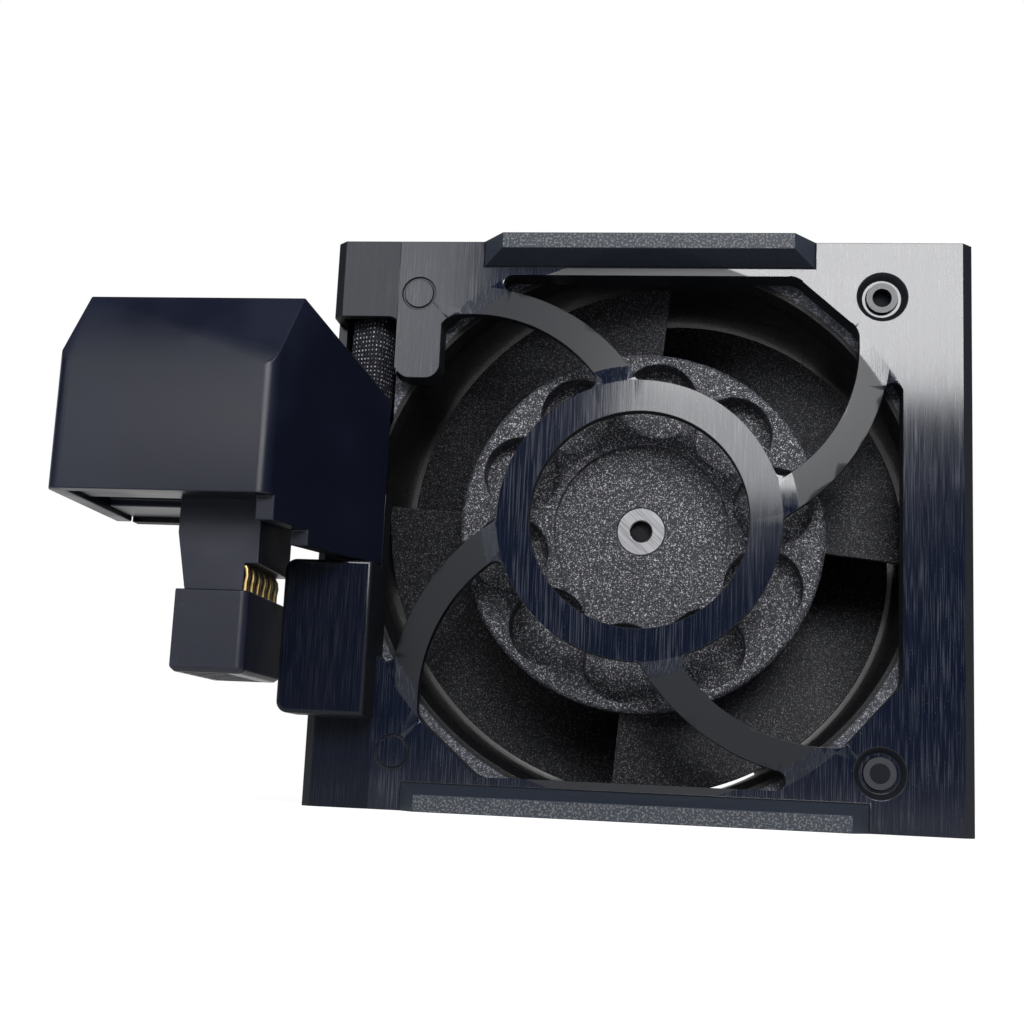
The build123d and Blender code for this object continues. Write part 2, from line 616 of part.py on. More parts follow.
def connector_holder():
    """The floor in the hood's mouth that the plug hangs in, with a shallow cross channel."""
    gap = HOOD_WALL + BACK_PLATE_GAP
    slope = (HOOD_FRONT_RIGHT - PLATE_WIDTH_LEFT) / HOOD_DEPTH
    lean = gap * math.hypot(1, slope)
    front = -HOOD_DEPTH + gap
    left = -HOOD_LEFT + gap
    plan = make_face(
        Polyline(
            (left, front),
            (-HOOD_FRONT_RIGHT - lean + slope * gap, front),
            (-PLATE_WIDTH_LEFT - lean - slope * BACK_PLATE_GAP, -BACK_PLATE_GAP),
            (left, -BACK_PLATE_GAP),
            close=True,
        )
    )
    low = HOOD_BOTTOM + HOLDER_SET_UP
    plate = Pos(0, 0, low) * extrude(plan, amount=HOLDER_THICKNESS)
    channel = box(-HOOD_LEFT, 0, -HOLDER_RECESS_FRONT, -HOLDER_RECESS_BACK, low, low + HOLDER_RECESS)
    hole = box(
        -PLUG_BODY_LEFT - PLUG_GAP,
        -PLUG_BODY_RIGHT + PLUG_GAP,
        -PLUG_FRONT + PLUG_INSET - PLUG_GAP,
        -PLUG_BACK - PLUG_INSET + PLUG_GAP,
        low,
        low + HOLDER_THICKNESS,
    )
    return plate - channel - hole


def connector_body():
    """The plug's upper part, which hangs in the floor on its collar."""
    front = -PLUG_FRONT + PLUG_INSET
    back = -PLUG_BACK - PLUG_INSET
    neck = -PLUG_RIGHT - PLUG_INSET
    seat = HOOD_BOTTOM + HOLDER_SET_UP + HOLDER_THICKNESS
    profile = outline(
        (-PLUG_BODY_LEFT + PLUG_TAPER, PLUG_SHELF),
        (-PLUG_BODY_LEFT, PLUG_TAPER_TOP),
        (-PLUG_BODY_LEFT, PLUG_TOP),
        (-PLUG_BODY_RIGHT, PLUG_TOP),
        (-PLUG_BODY_RIGHT, CONTACT_TOP),
        (neck, CONTACT_TOP),
        (neck, PLUG_SHELF),
    )
    body = slab(profile, front, back)
    collar = box(
        -PLUG_BODY_LEFT - PLUG_COLLAR_REACH,
        -PLUG_BODY_RIGHT + PLUG_COLLAR_REACH,
        front - PLUG_COLLAR_REACH,
        back,
        seat,
        seat + PLUG_COLLAR_HEIGHT,
    )
    body += collar
    for x, y in plug_lead_places():
        body -= Pos(x, y, PLUG_TOP) * Cylinder(LEAD_RADIUS + PRESS_GAP, 2 * LEAD_DEPTH)
    return body


def contact_places():
    """The depths of the contacts along the plug."""
    return [-PLUG_MIDDLE_DEPTH + CONTACT_PITCH * (i - (CONTACT_COUNT - 1) / 2) for i in range(CONTACT_COUNT)]


def connector_block():
    """The plug's lower block, open below in one slot, with grooves for the contacts."""
    block = box(-PLUG_LEFT, -PLUG_RIGHT, -PLUG_FRONT, -PLUG_BACK, PLUG_BOTTOM, PLUG_SHELF)
    upright = block.edges().filter_by(Axis.Z).group_by(Axis.X)[-1].sort_by(Axis.Y)[0]
    block = fillet(upright, PLUG_EDGE_RADIUS)
    block = chamfer(block.edges().group_by(Axis.Z)[0], PLUG_INSET / 2)
    for y in contact_places():
        block -= box(
            -PLUG_RIGHT - PLUG_INSET - CONTACT_THICKNESS - PRESS_GAP,
            -PLUG_RIGHT - PLUG_INSET + PRESS_GAP,
            y - CONTACT_WIDTH / 2 - PRESS_GAP,
            y + CONTACT_WIDTH / 2 + PRESS_GAP,
            PLUG_SHELF - CONTACT_SLOT_DEPTH,
            PLUG_SHELF,
        )
        block -= box(
            -PLUG_LEFT + PLUG_INSET,
            -PLUG_RIGHT - 2 * PLUG_INSET,
            y - CONTACT_WIDTH,
            y + CONTACT_WIDTH,
            PLUG_BOTTOM,
            PLUG_BOTTOM + CONTACT_SLOT_DEPTH,
        )
    return block


def connector_terminals():
    """The contacts that stand up from the lower block against the upper part's side."""
    strips = []
    for y in contact_places():
        strip = box(
            -PLUG_RIGHT - PLUG_INSET,
            -PLUG_RIGHT - PLUG_INSET + CONTACT_THICKNESS,
            y - CONTACT_WIDTH / 2,
            y + CONTACT_WIDTH / 2,
            PLUG_SHELF,
            CONTACT_TOP,
        )
        leg = box(
            -PLUG_RIGHT - PLUG_INSET - CONTACT_THICKNESS,
            -PLUG_RIGHT - PLUG_INSET,
            y - CONTACT_WIDTH / 2,
            y + CONTACT_WIDTH / 2,
            PLUG_SHELF - CONTACT_SLOT_DEPTH,
            PLUG_SHELF,
        )
        strips.append(leg)
        strips.append(strip)
    return strips


def fan_housing():
    """The square fan frame: flanges, barrel, bell mouth, motor base, vanes and wire strut."""
    square = fillet(Rectangle(FAN_SIZE, FAN_SIZE).vertices(), FAN_CORNER_RADIUS)
    flange_back = FAN_FRONT + FLANGE_THICKNESS
    housing = slab(square, FAN_FRONT, flange_back)
    housing += slab(square, FAN_BACK - FLANGE_THICKNESS, FAN_BACK)
    housing += tube(0, FAN_HALF, FAN_FRONT, FAN_BACK)
    bore = turned(
        (0, FAN_FRONT),
        (BELL_RADIUS, FAN_FRONT),
        (BORE_RADIUS, FAN_FRONT + BELL_DEPTH),
        (BORE_RADIUS, FAN_BACK),
        (0, FAN_BACK),
    )
    housing -= bore
    for x in (-HOLE_OFFSET, HOLE_OFFSET):
        for z in (-HOLE_OFFSET, HOLE_OFFSET):
            housing -= Pos(x, 0, z) * tube(0, FRONT_HOLE_RADIUS, FAN_FRONT, flange_back)
            housing -= Pos(x, 0, z) * tube(0, HOLE_RADIUS, flange_back, FAN_BACK)
    base = tube(0, BASE_RADIUS, BASE_FRONT, FAN_BACK)
    base -= tube(TUBE_OUTER_RADIUS + BASE_HUB_WALL, BASE_RADIUS - BASE_WALL, BASE_FRONT, BASE_FLOOR_FRONT)
    base -= tube(0, TUBE_OUTER_RADIUS + PRESS_GAP, BASE_FRONT, FAN_BACK)
    base -= tube(0, BOARD_RADIUS, BASE_FRONT, BOARD_BACK)
    vane = outlet_vane()
    for i in range(1, VANE_COUNT):
        base += about_axis(vane, WIRE_STRUT_ANGLE + 360.0 * i / VANE_COUNT)
    base += about_axis(wire_strut(), WIRE_STRUT_ANGLE)
    housing += base
    housing -= about_axis(wire_groove(), WIRE_STRUT_ANGLE)
    notch_side = -SLEEVE_SIDE + SLEEVE_RADIUS + SLEEVE_CLEARANCE / 2
    notch = box(-FAN_HALF, notch_side, FAN_FRONT, FAN_FRONT + FLANGE_THICKNESS, CABLE_NOTCH_LOW, FAN_HALF)
    return housing - (notch - tube(0, FAN_HALF, FAN_FRONT, FAN_FRONT + FLANGE_THICKNESS))


def outlet_vane():
    """One curved guide vane, from the motor base to the barrel, at the fan's right."""
    middle = (BASE_RADIUS + BORE_RADIUS) / 2
    length = BORE_RADIUS - BASE_RADIUS + 2 * VANE_ROOT
    half = VANE_DEPTH / 2
    swing = math.sqrt(VANE_CURVE_RADIUS**2 - VANE_DEPTH**2)
    centre = (VANE_CURVE_RADIUS, FAN_BACK)
    ring = Circle(VANE_CURVE_RADIUS + VANE_THICKNESS / 2) - Circle(VANE_CURVE_RADIUS - VANE_THICKNESS / 2)
    strip = Pos(*centre) * ring
    window_box = Pos((VANE_CURVE_RADIUS - swing) / 2 + VANE_THICKNESS, FAN_BACK - half) * Rectangle(
        VANE_CURVE_RADIUS, VANE_DEPTH
    )
    profile = strip & window_box
    plane = Plane(origin=(middle, 0, 0), x_dir=(0, 0, 1), z_dir=(-1, 0, 0))
    return extrude(plane * profile, amount=length / 2, both=True)


def wire_strut():
    """The wide straight strut that carries the leads outwards."""
    return box(
        BASE_RADIUS - VANE_ROOT,
        BORE_RADIUS + VANE_ROOT,
        WIRE_GROOVE_FRONT,
        FAN_BACK,
        -WIRE_STRUT_WIDTH / 2,
        WIRE_STRUT_WIDTH / 2,
    )


def wire_groove():
    """The groove for the leads, from inside the motor base to outside the barrel."""
    return box(
        BASE_RADIUS - 2 * BASE_WALL,
        FAN_HALF + FAN_CORNER_RADIUS,
        WIRE_GROOVE_FRONT,
        WIRE_GROOVE_FRONT + WIRE_GROOVE_DEPTH,
        -WIRE_GROOVE_WIDTH / 2,
        WIRE_GROOVE_WIDTH / 2,
    )


def blade():
    """One blade: radial strips that wind back about the axis, joined smoothly."""
    sections = []
    for i in range(BLADE_SECTIONS):
        share = i / (BLADE_SECTIONS - 1)
        angle = math.radians(BLADE_SWEEP * share)
        rise = math.sin(math.pi * share)
        half = (BLADE_EDGE_THICKNESS + (BLADE_THICKNESS - BLADE_EDGE_THICKNESS) * rise) / 2
        root = BLADE_FRONT + half + (BLADE_BACK - BLADE_FRONT - 2 * half) * share
        tip = root + BLADE_TIP_SETBACK * (1 - 2 * share)
        strip = Polyline(
            (HUB_RADIUS - BLADE_ROOT, root - half),
            (BLADE_TIP_RADIUS, tip - half),
            (BLADE_TIP_RADIUS, tip + half),
            (HUB_RADIUS - BLADE_ROOT, root + half),
            close=True,
        )
        plane = Plane(
            origin=(0, 0, 0),
            x_dir=(math.cos(angle), 0, math.sin(angle)),
            z_dir=(-math.sin(angle), 0, math.cos(angle)),
        )
        sections.append(plane * make_face(strip))
    return loft(sections)


def impeller():
    """The hub with its recess and balance pockets, and its blades."""
    skirt_inner = HUB_RADIUS - HUB_SKIRT_WALL
    wall_back = HUB_FRONT + HUB_FRONT_WALL
    hub = turned(
        (0, HUB_FRONT),
        (HUB_RADIUS - HUB_EDGE_RADIUS, HUB_FRONT),
        (HUB_RADIUS, HUB_FRONT + HUB_EDGE_RADIUS),
        (HUB_RADIUS, HUB_BACK),
        (skirt_inner, HUB_BACK),
        (skirt_inner, wall_back),
        (0, wall_back),
    )
    hub -= tube(0, RECESS_RADIUS, HUB_FRONT, BUSH_FRONT)
    hub -= tube(0, BUSH_RADIUS + PRESS_GAP, BUSH_FRONT, wall_back)
    pocket = Pos(POCKET_CIRCLE, 0, 0) * tube(0, POCKET_RADIUS, HUB_FRONT, HUB_FRONT + POCKET_DEPTH)
    for hollow in around(pocket, POCKET_COUNT, POCKET_FIRST_ANGLE):
        hub -= hollow
    for wing in around(blade(), BLADE_COUNT, BLADE_FIRST_ANGLE):
        hub += wing - tube(0, HUB_RADIUS - BLADE_ROOT / 2, HUB_FRONT, FAN_BACK)
    return hub


def shaft_bush():
    """The metal bush in the hub, stepped for the shaft's end."""
    step = BUSH_FRONT + BUSH_HOLE_DEPTH
    return turned(
        (BUSH_HOLE_RADIUS, BUSH_FRONT),
        (BUSH_RADIUS, BUSH_FRONT),
        (BUSH_RADIUS, BUSH_BACK),
        (SHAFT_RADIUS + PRESS_GAP, BUSH_BACK),
        (SHAFT_RADIUS + PRESS_GAP, step),
        (BUSH_HOLE_RADIUS, step),
    )


def motor_shaft():
    """The shaft, with the clip's groove near its rear end."""
    shaft = tube(0, SHAFT_RADIUS, BUSH_FRONT + BUSH_HOLE_DEPTH, SHAFT_BACK)
    return shaft - tube(CLIP_GROOVE_RADIUS, SHAFT_RADIUS, CLIP_FRONT, CLIP_FRONT + CLIP_THICKNESS + PRESS_GAP)


def shaft_spacer():
    """The collar that keeps the front bearing off the bush."""
    return tube(SHAFT_RADIUS + PRESS_GAP, INNER_RING_RADIUS, BUSH_BACK, FRONT_BEARING_FRONT)


def retaining_clip():
    """The open clip in the shaft's groove."""
    ring = tube(CLIP_GROOVE_RADIUS + PRESS_GAP, CLIP_RADIUS, CLIP_FRONT, CLIP_FRONT + CLIP_THICKNESS)
    return ring - box(0, CLIP_RADIUS, CLIP_FRONT, CLIP_FRONT + CLIP_THICKNESS, -CLIP_MOUTH / 2, CLIP_MOUTH / 2)


def rotor_cup():
    """The steel yoke pressed into the hub."""
    return turned(
        (BUSH_RADIUS + PRESS_GAP, YOKE_FRONT),
        (YOKE_RADIUS, YOKE_FRONT),
        (YOKE_RADIUS, YOKE_BACK),
        (YOKE_RADIUS - YOKE_WALL, YOKE_BACK),
        (YOKE_RADIUS - YOKE_WALL, YOKE_FRONT + YOKE_END_WALL),
        (BUSH_RADIUS + PRESS_GAP, YOKE_FRONT + YOKE_END_WALL),
    )


def ring_magnet():
    """The magnet in the yoke, around the teeth."""
    return tube(MAGNET_INNER_RADIUS, MAGNET_OUTER_RADIUS, YOKE_BACK - MAGNET_LENGTH, YOKE_BACK)


def bearing_outer(front):
    """A bearing's outer ring with its shields."""
    return tube(SHIELD_RADIUS, BEARING_RADIUS, front, front + BEARING_WIDTH)


def bearing_inner_rings():
    """Both bearings' inner rings, on the shaft."""
    fronts = (FRONT_BEARING_FRONT, REAR_BEARING_FRONT)
    return [tube(SHAFT_RADIUS + PRESS_GAP, INNER_RING_RADIUS, front, front + BEARING_WIDTH) for front in fronts]


def bearing_tube():
    """The sleeve in the motor base, with an inner shoulder behind the front bearing."""
    outer = TUBE_OUTER_RADIUS
    inner = BEARING_RADIUS + PRESS_GAP
    tube_back = BASE_FLOOR_FRONT + BASE_FLOOR - PLUG_DISC_THICKNESS
    sleeve = tube(inner, outer, TUBE_FRONT, tube_back)
    shoulder = tube(SHIELD_RADIUS, inner, FRONT_BEARING_BACK, REAR_BEARING_FRONT - WASHER_THICKNESS)
    return sleeve + shoulder


def preload_washer():
    """The washer between the shoulder and the rear bearing's outer ring."""
    return tube(SHIELD_RADIUS, BEARING_RADIUS, REAR_BEARING_FRONT - WASHER_THICKNESS, REAR_BEARING_FRONT)


def end_plug():
    """The disc that closes the motor base behind the shaft."""
    return tube(0, TUBE_OUTER_RADIUS, FAN_BACK - PLUG_DISC_THICKNESS, FAN_BACK)


def tooth_outline(width, shoe):
    """One tooth with its shoe, pointing right."""
    stem = Pos(CORE_RADIUS / 2, 0) * Rectangle(CORE_RADIUS, width)
    pole = Circle(CORE_RADIUS) - Circle(CORE_RADIUS - shoe)
    half_angle = 180.0 / TOOTH_COUNT - math.degrees(SLOT_MOUTH / 2 / CORE_RADIUS)
    reach = 2 * CORE_RADIUS
    across = reach * math.tan(math.radians(half_angle))
    return stem + (pole & outline((0, 0), (reach, -across), (reach, across)))


def toothed(width, shoe, front, back):
    """The star of teeth about the core's hub."""
    hub = Circle(TUBE_OUTER_RADIUS + CORE_HUB_WALL)
    star = hub
    for i in range(TOOTH_COUNT):
        star += Rot(0, 0, 360.0 * i / TOOTH_COUNT) * tooth_outline(width, shoe)
    star &= Circle(CORE_RADIUS)
    star -= Circle(TUBE_OUTER_RADIUS + PRESS_GAP)
    return slab(star, front, back)


def stator_core():
    """The stack of laminations on the bearing tube."""
    return toothed(TOOTH_WIDTH, TOOTH_SHOE, CORE_FRONT, CORE_BACK)


def stator_insulators():
    """The caps on the core's two ends."""
    front = toothed(TOOTH_WIDTH, TOOTH_SHOE, CORE_FRONT - CAP_THICKNESS, CORE_FRONT)
    back = toothed(TOOTH_WIDTH, TOOTH_SHOE, CORE_BACK, CORE_BACK + CAP_THICKNESS)
    return [front, back]


def stator_coils():
    """A winding around each tooth."""
    inner_radius = TUBE_OUTER_RADIUS + CORE_HUB_WALL + COIL_CLEARANCE
    outer_radius = CORE_RADIUS - TOOTH_SHOE - COIL_CLEARANCE - TOOTH_WIDTH / 4
    front = CORE_FRONT - CAP_THICKNESS - COIL_CLEARANCE
    back = CORE_BACK + CAP_THICKNESS + COIL_CLEARANCE
    half = TOOTH_WIDTH / 2 + COIL_CLEARANCE
    hole = box(inner_radius, outer_radius, front, back, -half, half)
    coil = box(
        inner_radius,
        outer_radius,
        front - COIL_THICKNESS,
        back + COIL_THICKNESS,
        -half - COIL_THICKNESS,
        half + COIL_THICKNESS,
    )
    coil = fillet(coil.edges().filter_by(Axis.X), COIL_ROUNDING)
    reach = 2 * outer_radius
    across = reach * math.tan(math.radians(180.0 / TOOTH_COUNT)) - COIL_CLEARANCE
    wedge = slab(outline((0, 0), (reach, -across), (reach, across)), 0, FAN_BACK)
    return around((coil - hole) & wedge, TOOTH_COUNT)


def circuit_board():
    """The round board behind the coils."""
    return tube(TUBE_OUTER_RADIUS + COIL_CLEARANCE, BOARD_RADIUS - CARRIER_GAP, BOARD_FRONT, BOARD_BACK)


def chip(width, length, height):
    """A chip on the board's rear, at the right of the axis."""
    middle = (TUBE_OUTER_RADIUS + BASE_HUB_WALL + BASE_RADIUS - BASE_WALL) / 2
    return box(middle - width / 2, middle + width / 2, BOARD_BACK, BOARD_BACK + height, -length / 2, length / 2)


def board_components():
    """The driver chip, the regulator, the sensor and the capacitor on the board's rear."""
    middle = (TUBE_OUTER_RADIUS + BASE_HUB_WALL + BASE_RADIUS - BASE_WALL) / 2
    driver = chip(DRIVER_SIZE, DRIVER_SIZE, DRIVER_HEIGHT)
    regulator = chip(REGULATOR_WIDTH, REGULATOR_LENGTH, REGULATOR_HEIGHT)
    sensor = chip(DRIVER_SIZE, REGULATOR_WIDTH, DRIVER_HEIGHT)
    capacitor = Pos(middle, 0, 0) * tube(0, CAPACITOR_RADIUS, BOARD_BACK, BOARD_BACK + CAPACITOR_HEIGHT)
    return [
        about_axis(driver, -120),
        about_axis(regulator, -60),
        about_axis(sensor, 0),
        about_axis(capacitor, 60),
    ]


def push_rivets():
    """The two expanding sleeves at the plate's right corners."""
    sleeve = turned(
        (RIVET_PIN_RADIUS + PRESS_GAP, RIVET_SET_BACK),
        (RIVET_RADIUS, RIVET_SET_BACK),
        (RIVET_RADIUS, FAN_FRONT + FLANGE_THICKNESS),
        (RIVET_FLARE_RADIUS, FAN_FRONT + FLANGE_THICKNESS),
        (RIVET_RADIUS, FAN_FRONT + FLANGE_THICKNESS + RIVET_FLARE_LENGTH),
        (RIVET_PIN_RADIUS + PRESS_GAP, FAN_FRONT + FLANGE_THICKNESS + RIVET_FLARE_LENGTH),
    )
    return [Pos(HOLE_OFFSET, 0, z) * sleeve for z in (HOLE_OFFSET, -HOLE_OFFSET)]


def rivet_pins():
    """The pins that spread the sleeves: the upper one pushed deeper than the lower one."""
    back = FAN_FRONT + FLANGE_THICKNESS + RIVET_FLARE_LENGTH
    upper = tube(0, RIVET_PIN_RADIUS, 2 * DIMPLE_DEPTH, back)
    lower = tube(0, RIVET_PIN_RADIUS, RIVET_SET_BACK, back - DIMPLE_DEPTH)
    return [Pos(HOLE_OFFSET, 0, HOLE_OFFSET) * upper, Pos(HOLE_OFFSET, 0, -HOLE_OFFSET) * lower]


def rubber_pads():
    """The pads between the fan's rear corners and the lip."""
    back = MODULE_DEPTH - LIP_THICKNESS
    inner = FAN_HALF + CARRIER_GAP
    width = LIP_WIDTH - CARRIER_GAP
    pads = []
    for x, z in ((1, 1), (1, -1), (-1, 1), (-1, -1)):
        long = sorted((x * (inner - 4 * width), x * (inner - 2 * width)))
        short = sorted((z * (inner - CARRIER_GAP), z * (inner - width)))
        pads.append(box(long[0], long[1], FAN_BACK, back, short[0], short[1]))
    return pads


def hood_screw_places():
    """Where the hood's screw bosses stand: by its left wall, and beside the sleeve's end."""
    left = -HOOD_LEFT + HOOD_WALL + SCREW_BOSS_RADIUS - PLUG_GAP
    right = -PLUG_MIDDLE - SLEEVE_RADIUS - SCREW_BOSS_RADIUS - SCREW_CLEARANCE
    high = HOOD_REAR_TOP - HOOD_WALL - SCREW_BOSS_RADIUS - PLUG_GAP
    return [(left, high - SCREW_DROP), (right, high)]


def hood_screws():
    """The two screws through the back plate into the hood's bosses."""
    screw = tube(0, SCREW_RADIUS, PLUG_GAP - SCREW_LENGTH, BACK_PLATE_THICKNESS)
    screw += tube(0, SCREW_HEAD_RADIUS, BACK_PLATE_THICKNESS, BACK_PLATE_THICKNESS + SCREW_HEAD_HEIGHT)
    slot = SCREW_RADIUS / 2
    recess = box(
        -SCREW_RADIUS,
        SCREW_RADIUS,
        BACK_PLATE_THICKNESS + SCREW_HEAD_HEIGHT / 2,
        BACK_PLATE_THICKNESS + SCREW_HEAD_HEIGHT,
        -slot / 2,
        slot / 2,
    )
    screw -= recess
    screw -= about_axis(recess, 90)
    return [Pos(x, 0, z) * screw for x, z in hood_screw_places()]


def sleeve_route():
    """The corners of the sleeve's line: from the strut, up beside the barrel, down into the hood."""
    rear = FAN_BACK - FLANGE_THICKNESS - SLEEVE_RADIUS - SLEEVE_CLEARANCE / 2
    turn = math.radians(180 - WIRE_STRUT_ANGLE)
    outer = SLEEVE_SIDE - SLEEVE_CLEARANCE / 2
    start = outer - SLEEVE_START_LENGTH * math.cos(turn)
    high = FAN_HALF - SLEEVE_DROP
    return [
        (-start, rear, start * math.tan(turn)),
        (-outer, rear, outer * math.tan(turn)),
        (-SLEEVE_SIDE, SLEEVE_DEPTH, high),
        (-SLEEVE_SIDE, SLEEVE_DEPTH, SLEEVE_CROSSING),
        (-PLUG_MIDDLE, -PLUG_MIDDLE_DEPTH, SLEEVE_CROSSING),
        (-PLUG_MIDDLE, -PLUG_MIDDLE_DEPTH, PLUG_TOP + SLEEVE_END_GAP),
    ]


def sleeved_cable():
    """The braided sleeve's solid along the leads' route."""
    path = FilletPolyline(*sleeve_route(), radius=SLEEVE_BENDS)
    start = Plane(origin=path @ 0, z_dir=path % 0)
    cable = sweep(start * Circle(SLEEVE_RADIUS), path=path)
    expected = math.pi * SLEEVE_RADIUS**2 * path.length
    print("sleeve bends", SLEEVE_BENDS, "length", round(path.length, 2))
    print("sleeve volume over section times length", round(cable.volume / expected, 4))
    return cable


def plug_lead_places():
    """Where the four leads enter the plug's top, below the sleeve's end."""
    half = LEAD_PITCH / 2
    sides = (-half, half)
    return [(across - PLUG_MIDDLE, along - PLUG_MIDDLE_DEPTH) for across in sides for along in sides]


def plug_leads():
    """The four leads from the sleeve's end down into the plug."""
    low = PLUG_TOP - LEAD_DEPTH
    high = PLUG_TOP + SLEEVE_END_GAP
    return [Pos(x, y, (low + high) / 2) * Cylinder(LEAD_RADIUS, high - low) for x, y in plug_lead_places()]


def motor_leads():
    """The four leads from the board, along the strut's groove, to the sleeve."""
    start = BOARD_RADIUS - 2 * BASE_WALL
    first = sleeve_route()[0]
    sleeve_start = math.hypot(first[0], first[2])
    leads = []
    for across in (-LEAD_PITCH / 2, LEAD_PITCH / 2):
        for depth in (-LEAD_PITCH / 2, LEAD_PITCH / 2):
            lead = Pos((start + sleeve_start) / 2, LEAD_AXIS + depth, across) * Rot(0, 90, 0) * Cylinder(
                LEAD_RADIUS, sleeve_start - start
            )
            leads.append(about_axis(lead, WIRE_STRUT_ANGLE))
    return leads


PIECES = {
    "front_guard": front_guard,
    "carrier_shell": carrier_shell,
    "side_bracket": side_bracket,
    "cable_hood": cable_hood,
    "connector_holder": connector_holder,
    "connector_body": connector_body,
    "connector_block": connector_block,
    "connector_terminals": connector_terminals,
    "fan_housing": fan_housing,
    "impeller": impeller,
    "shaft_bush": shaft_bush,
    "motor_shaft": motor_shaft,
    "shaft_spacer": shaft_spacer,
    "retaining_clip": retaining_clip,
    "rotor_cup": rotor_cup,
    "ring_magnet": ring_magnet,
    "bearing_inner_rings": bearing_inner_rings,
    "front_bearing": lambda: bearing_outer(FRONT_BEARING_FRONT),
    "rear_bearing": lambda: bearing_outer(REAR_BEARING_FRONT),
    "bearing_tube": bearing_tube,
    "preload_washer": preload_washer,
    "end_plug": end_plug,
    "stator_core": stator_core,
    "stator_insulators": stator_insulators,
    "stator_coils": stator_coils,
    "circuit_board": circuit_board,
    "board_components": board_components,
    "push_rivets": push_rivets,
    "rivet_pins": rivet_pins,
    "rubber_pads": rubber_pads,
    "sleeved_cable": sleeved_cable,
    "motor_leads": motor_leads,
    "plug_leads": plug_leads,
    "hood_screws": hood_screws,
}

os.makedirs("parts", exist_ok=True)
for name, make in PIECES.items():
    shape = make()
    solids = [solid for piece in shape for solid in piece.solids()] if isinstance(shape, list) else shape.solids()
    export_step(Pos(0, 0, AXIS_HEIGHT) * Compound(children=solids), f"parts/{name}.step")
    print(name, len(solids))
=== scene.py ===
"""Looks of a server fan module: rounded mouldings, metal trim, a woven sleeve and a plain studio.

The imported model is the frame. Mouldings are copies of its nodes with their triangles joined and
their edges rounded, and the trim is modelled here where the frame says it sits.
"""

import logging
import math
from contextlib import contextmanager
from dataclasses import dataclass
from enum import Enum, IntEnum
from typing import Any, Callable, Iterator, Sequence

import bpy
from mathutils import Matrix, Vector
from mathutils.kdtree import KDTree


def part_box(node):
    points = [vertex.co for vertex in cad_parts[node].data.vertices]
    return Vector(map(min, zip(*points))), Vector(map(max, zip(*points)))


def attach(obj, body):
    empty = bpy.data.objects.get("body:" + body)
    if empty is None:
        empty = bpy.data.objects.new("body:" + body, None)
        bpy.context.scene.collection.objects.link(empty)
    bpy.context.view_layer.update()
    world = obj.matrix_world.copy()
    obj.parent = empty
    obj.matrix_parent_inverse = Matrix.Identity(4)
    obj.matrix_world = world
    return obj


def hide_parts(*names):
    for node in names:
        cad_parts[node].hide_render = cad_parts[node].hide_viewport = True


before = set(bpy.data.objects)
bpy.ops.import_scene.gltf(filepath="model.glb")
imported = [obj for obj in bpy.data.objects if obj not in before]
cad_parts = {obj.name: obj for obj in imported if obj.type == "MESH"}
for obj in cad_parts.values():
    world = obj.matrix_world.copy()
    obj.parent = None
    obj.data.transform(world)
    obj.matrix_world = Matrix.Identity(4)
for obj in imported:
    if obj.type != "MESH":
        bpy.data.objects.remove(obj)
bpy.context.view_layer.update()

WEAVE = "weave"

# One millimetre in metres, and the height of the fan's axis in millimetres
MM = 0.001
AXIS_HEIGHT = 31.0

# Corners closer than this in millimetres are joined, and faces that differ less in degrees
MERGE = 0.0005
FLAT = 0.2

# Neighbours whose normals' product is below this are folded, and edges this many widths of the
# rounding from a fold stay sharp
FOLD = -0.8
FOLD_MARGIN = 3.0

# The angles in degrees past which an edge is rounded, and past which it is shaded sharp
SHARP = 40.0
CREASE = 64.0

# How much of a normal lies along an axis if a face looks that way, and if it looks exactly so
FACING = 0.9
STRAIGHT = 0.999999

# The widths of the soft steps between two surfaces, in millimetres
STEP = 0.2
RING_STEP = 0.15
WINDOW_STEP = 0.3
PROUD_STEP = 0.1

Colour = tuple[float, float, float]
Point = tuple[float, float, float]
Pair = tuple[float, float]
Piece = bpy.types.Object

log = logging.getLogger("fan module")


class Body(Enum):
    """The rigid bodies that pieces ride on."""

    MODULE = "module"
    ROTOR = "rotor"


class Grain(Enum):
    """How far a pattern is squeezed along X, Y and Z, so that its marks run one way."""

    EVEN = (1.0, 1.0, 1.0)
    UPRIGHT = (1.0, 1.0, 0.025)
    LEVEL = (0.05, 1.0, 1.0)


class Axis(IntEnum):
    """The places of a vector's coordinates."""

    X = 0
    Y = 1
    Z = 2


# Shader maths


class Value:
    """A number in a material. Arithmetic on it adds Math nodes."""

    def __init__(self, graph: "Graph", socket: bpy.types.NodeSocket) -> None:
        """Keeps the output that carries the number."""
        self.graph = graph
        self.socket = socket

    def _math(self, operation: str, first: Any, second: Any) -> "Value":
        """One Math node on two numbers or links."""
        return self.graph.node("ShaderNodeMath", {"operation": operation}, {0: first, 1: second})

    def __add__(self, other: Any) -> "Value":
        """self + other."""
        return self._math("ADD", self, other)

    def __sub__(self, other: Any) -> "Value":
        """self - other."""
        return self._math("SUBTRACT", self, other)

    def __rsub__(self, other: Any) -> "Value":
        """other - self."""
        return self._math("SUBTRACT", other, self)

    def __mul__(self, other: Any) -> "Value":
        """self * other."""
        return self._math("MULTIPLY", self, other)

    __radd__ = __add__
    __rmul__ = __mul__

    def sine(self) -> "Value":
        """The sine of the number, in radians."""
        return self._math("SINE", self, 0.0)

    def size(self) -> "Value":
        """The number without its sign."""
        return self._math("ABSOLUTE", self, 0.0)

    def larger(self, other: Any) -> "Value":
        """The larger of two numbers."""
        return self._math("MAXIMUM", self, other)


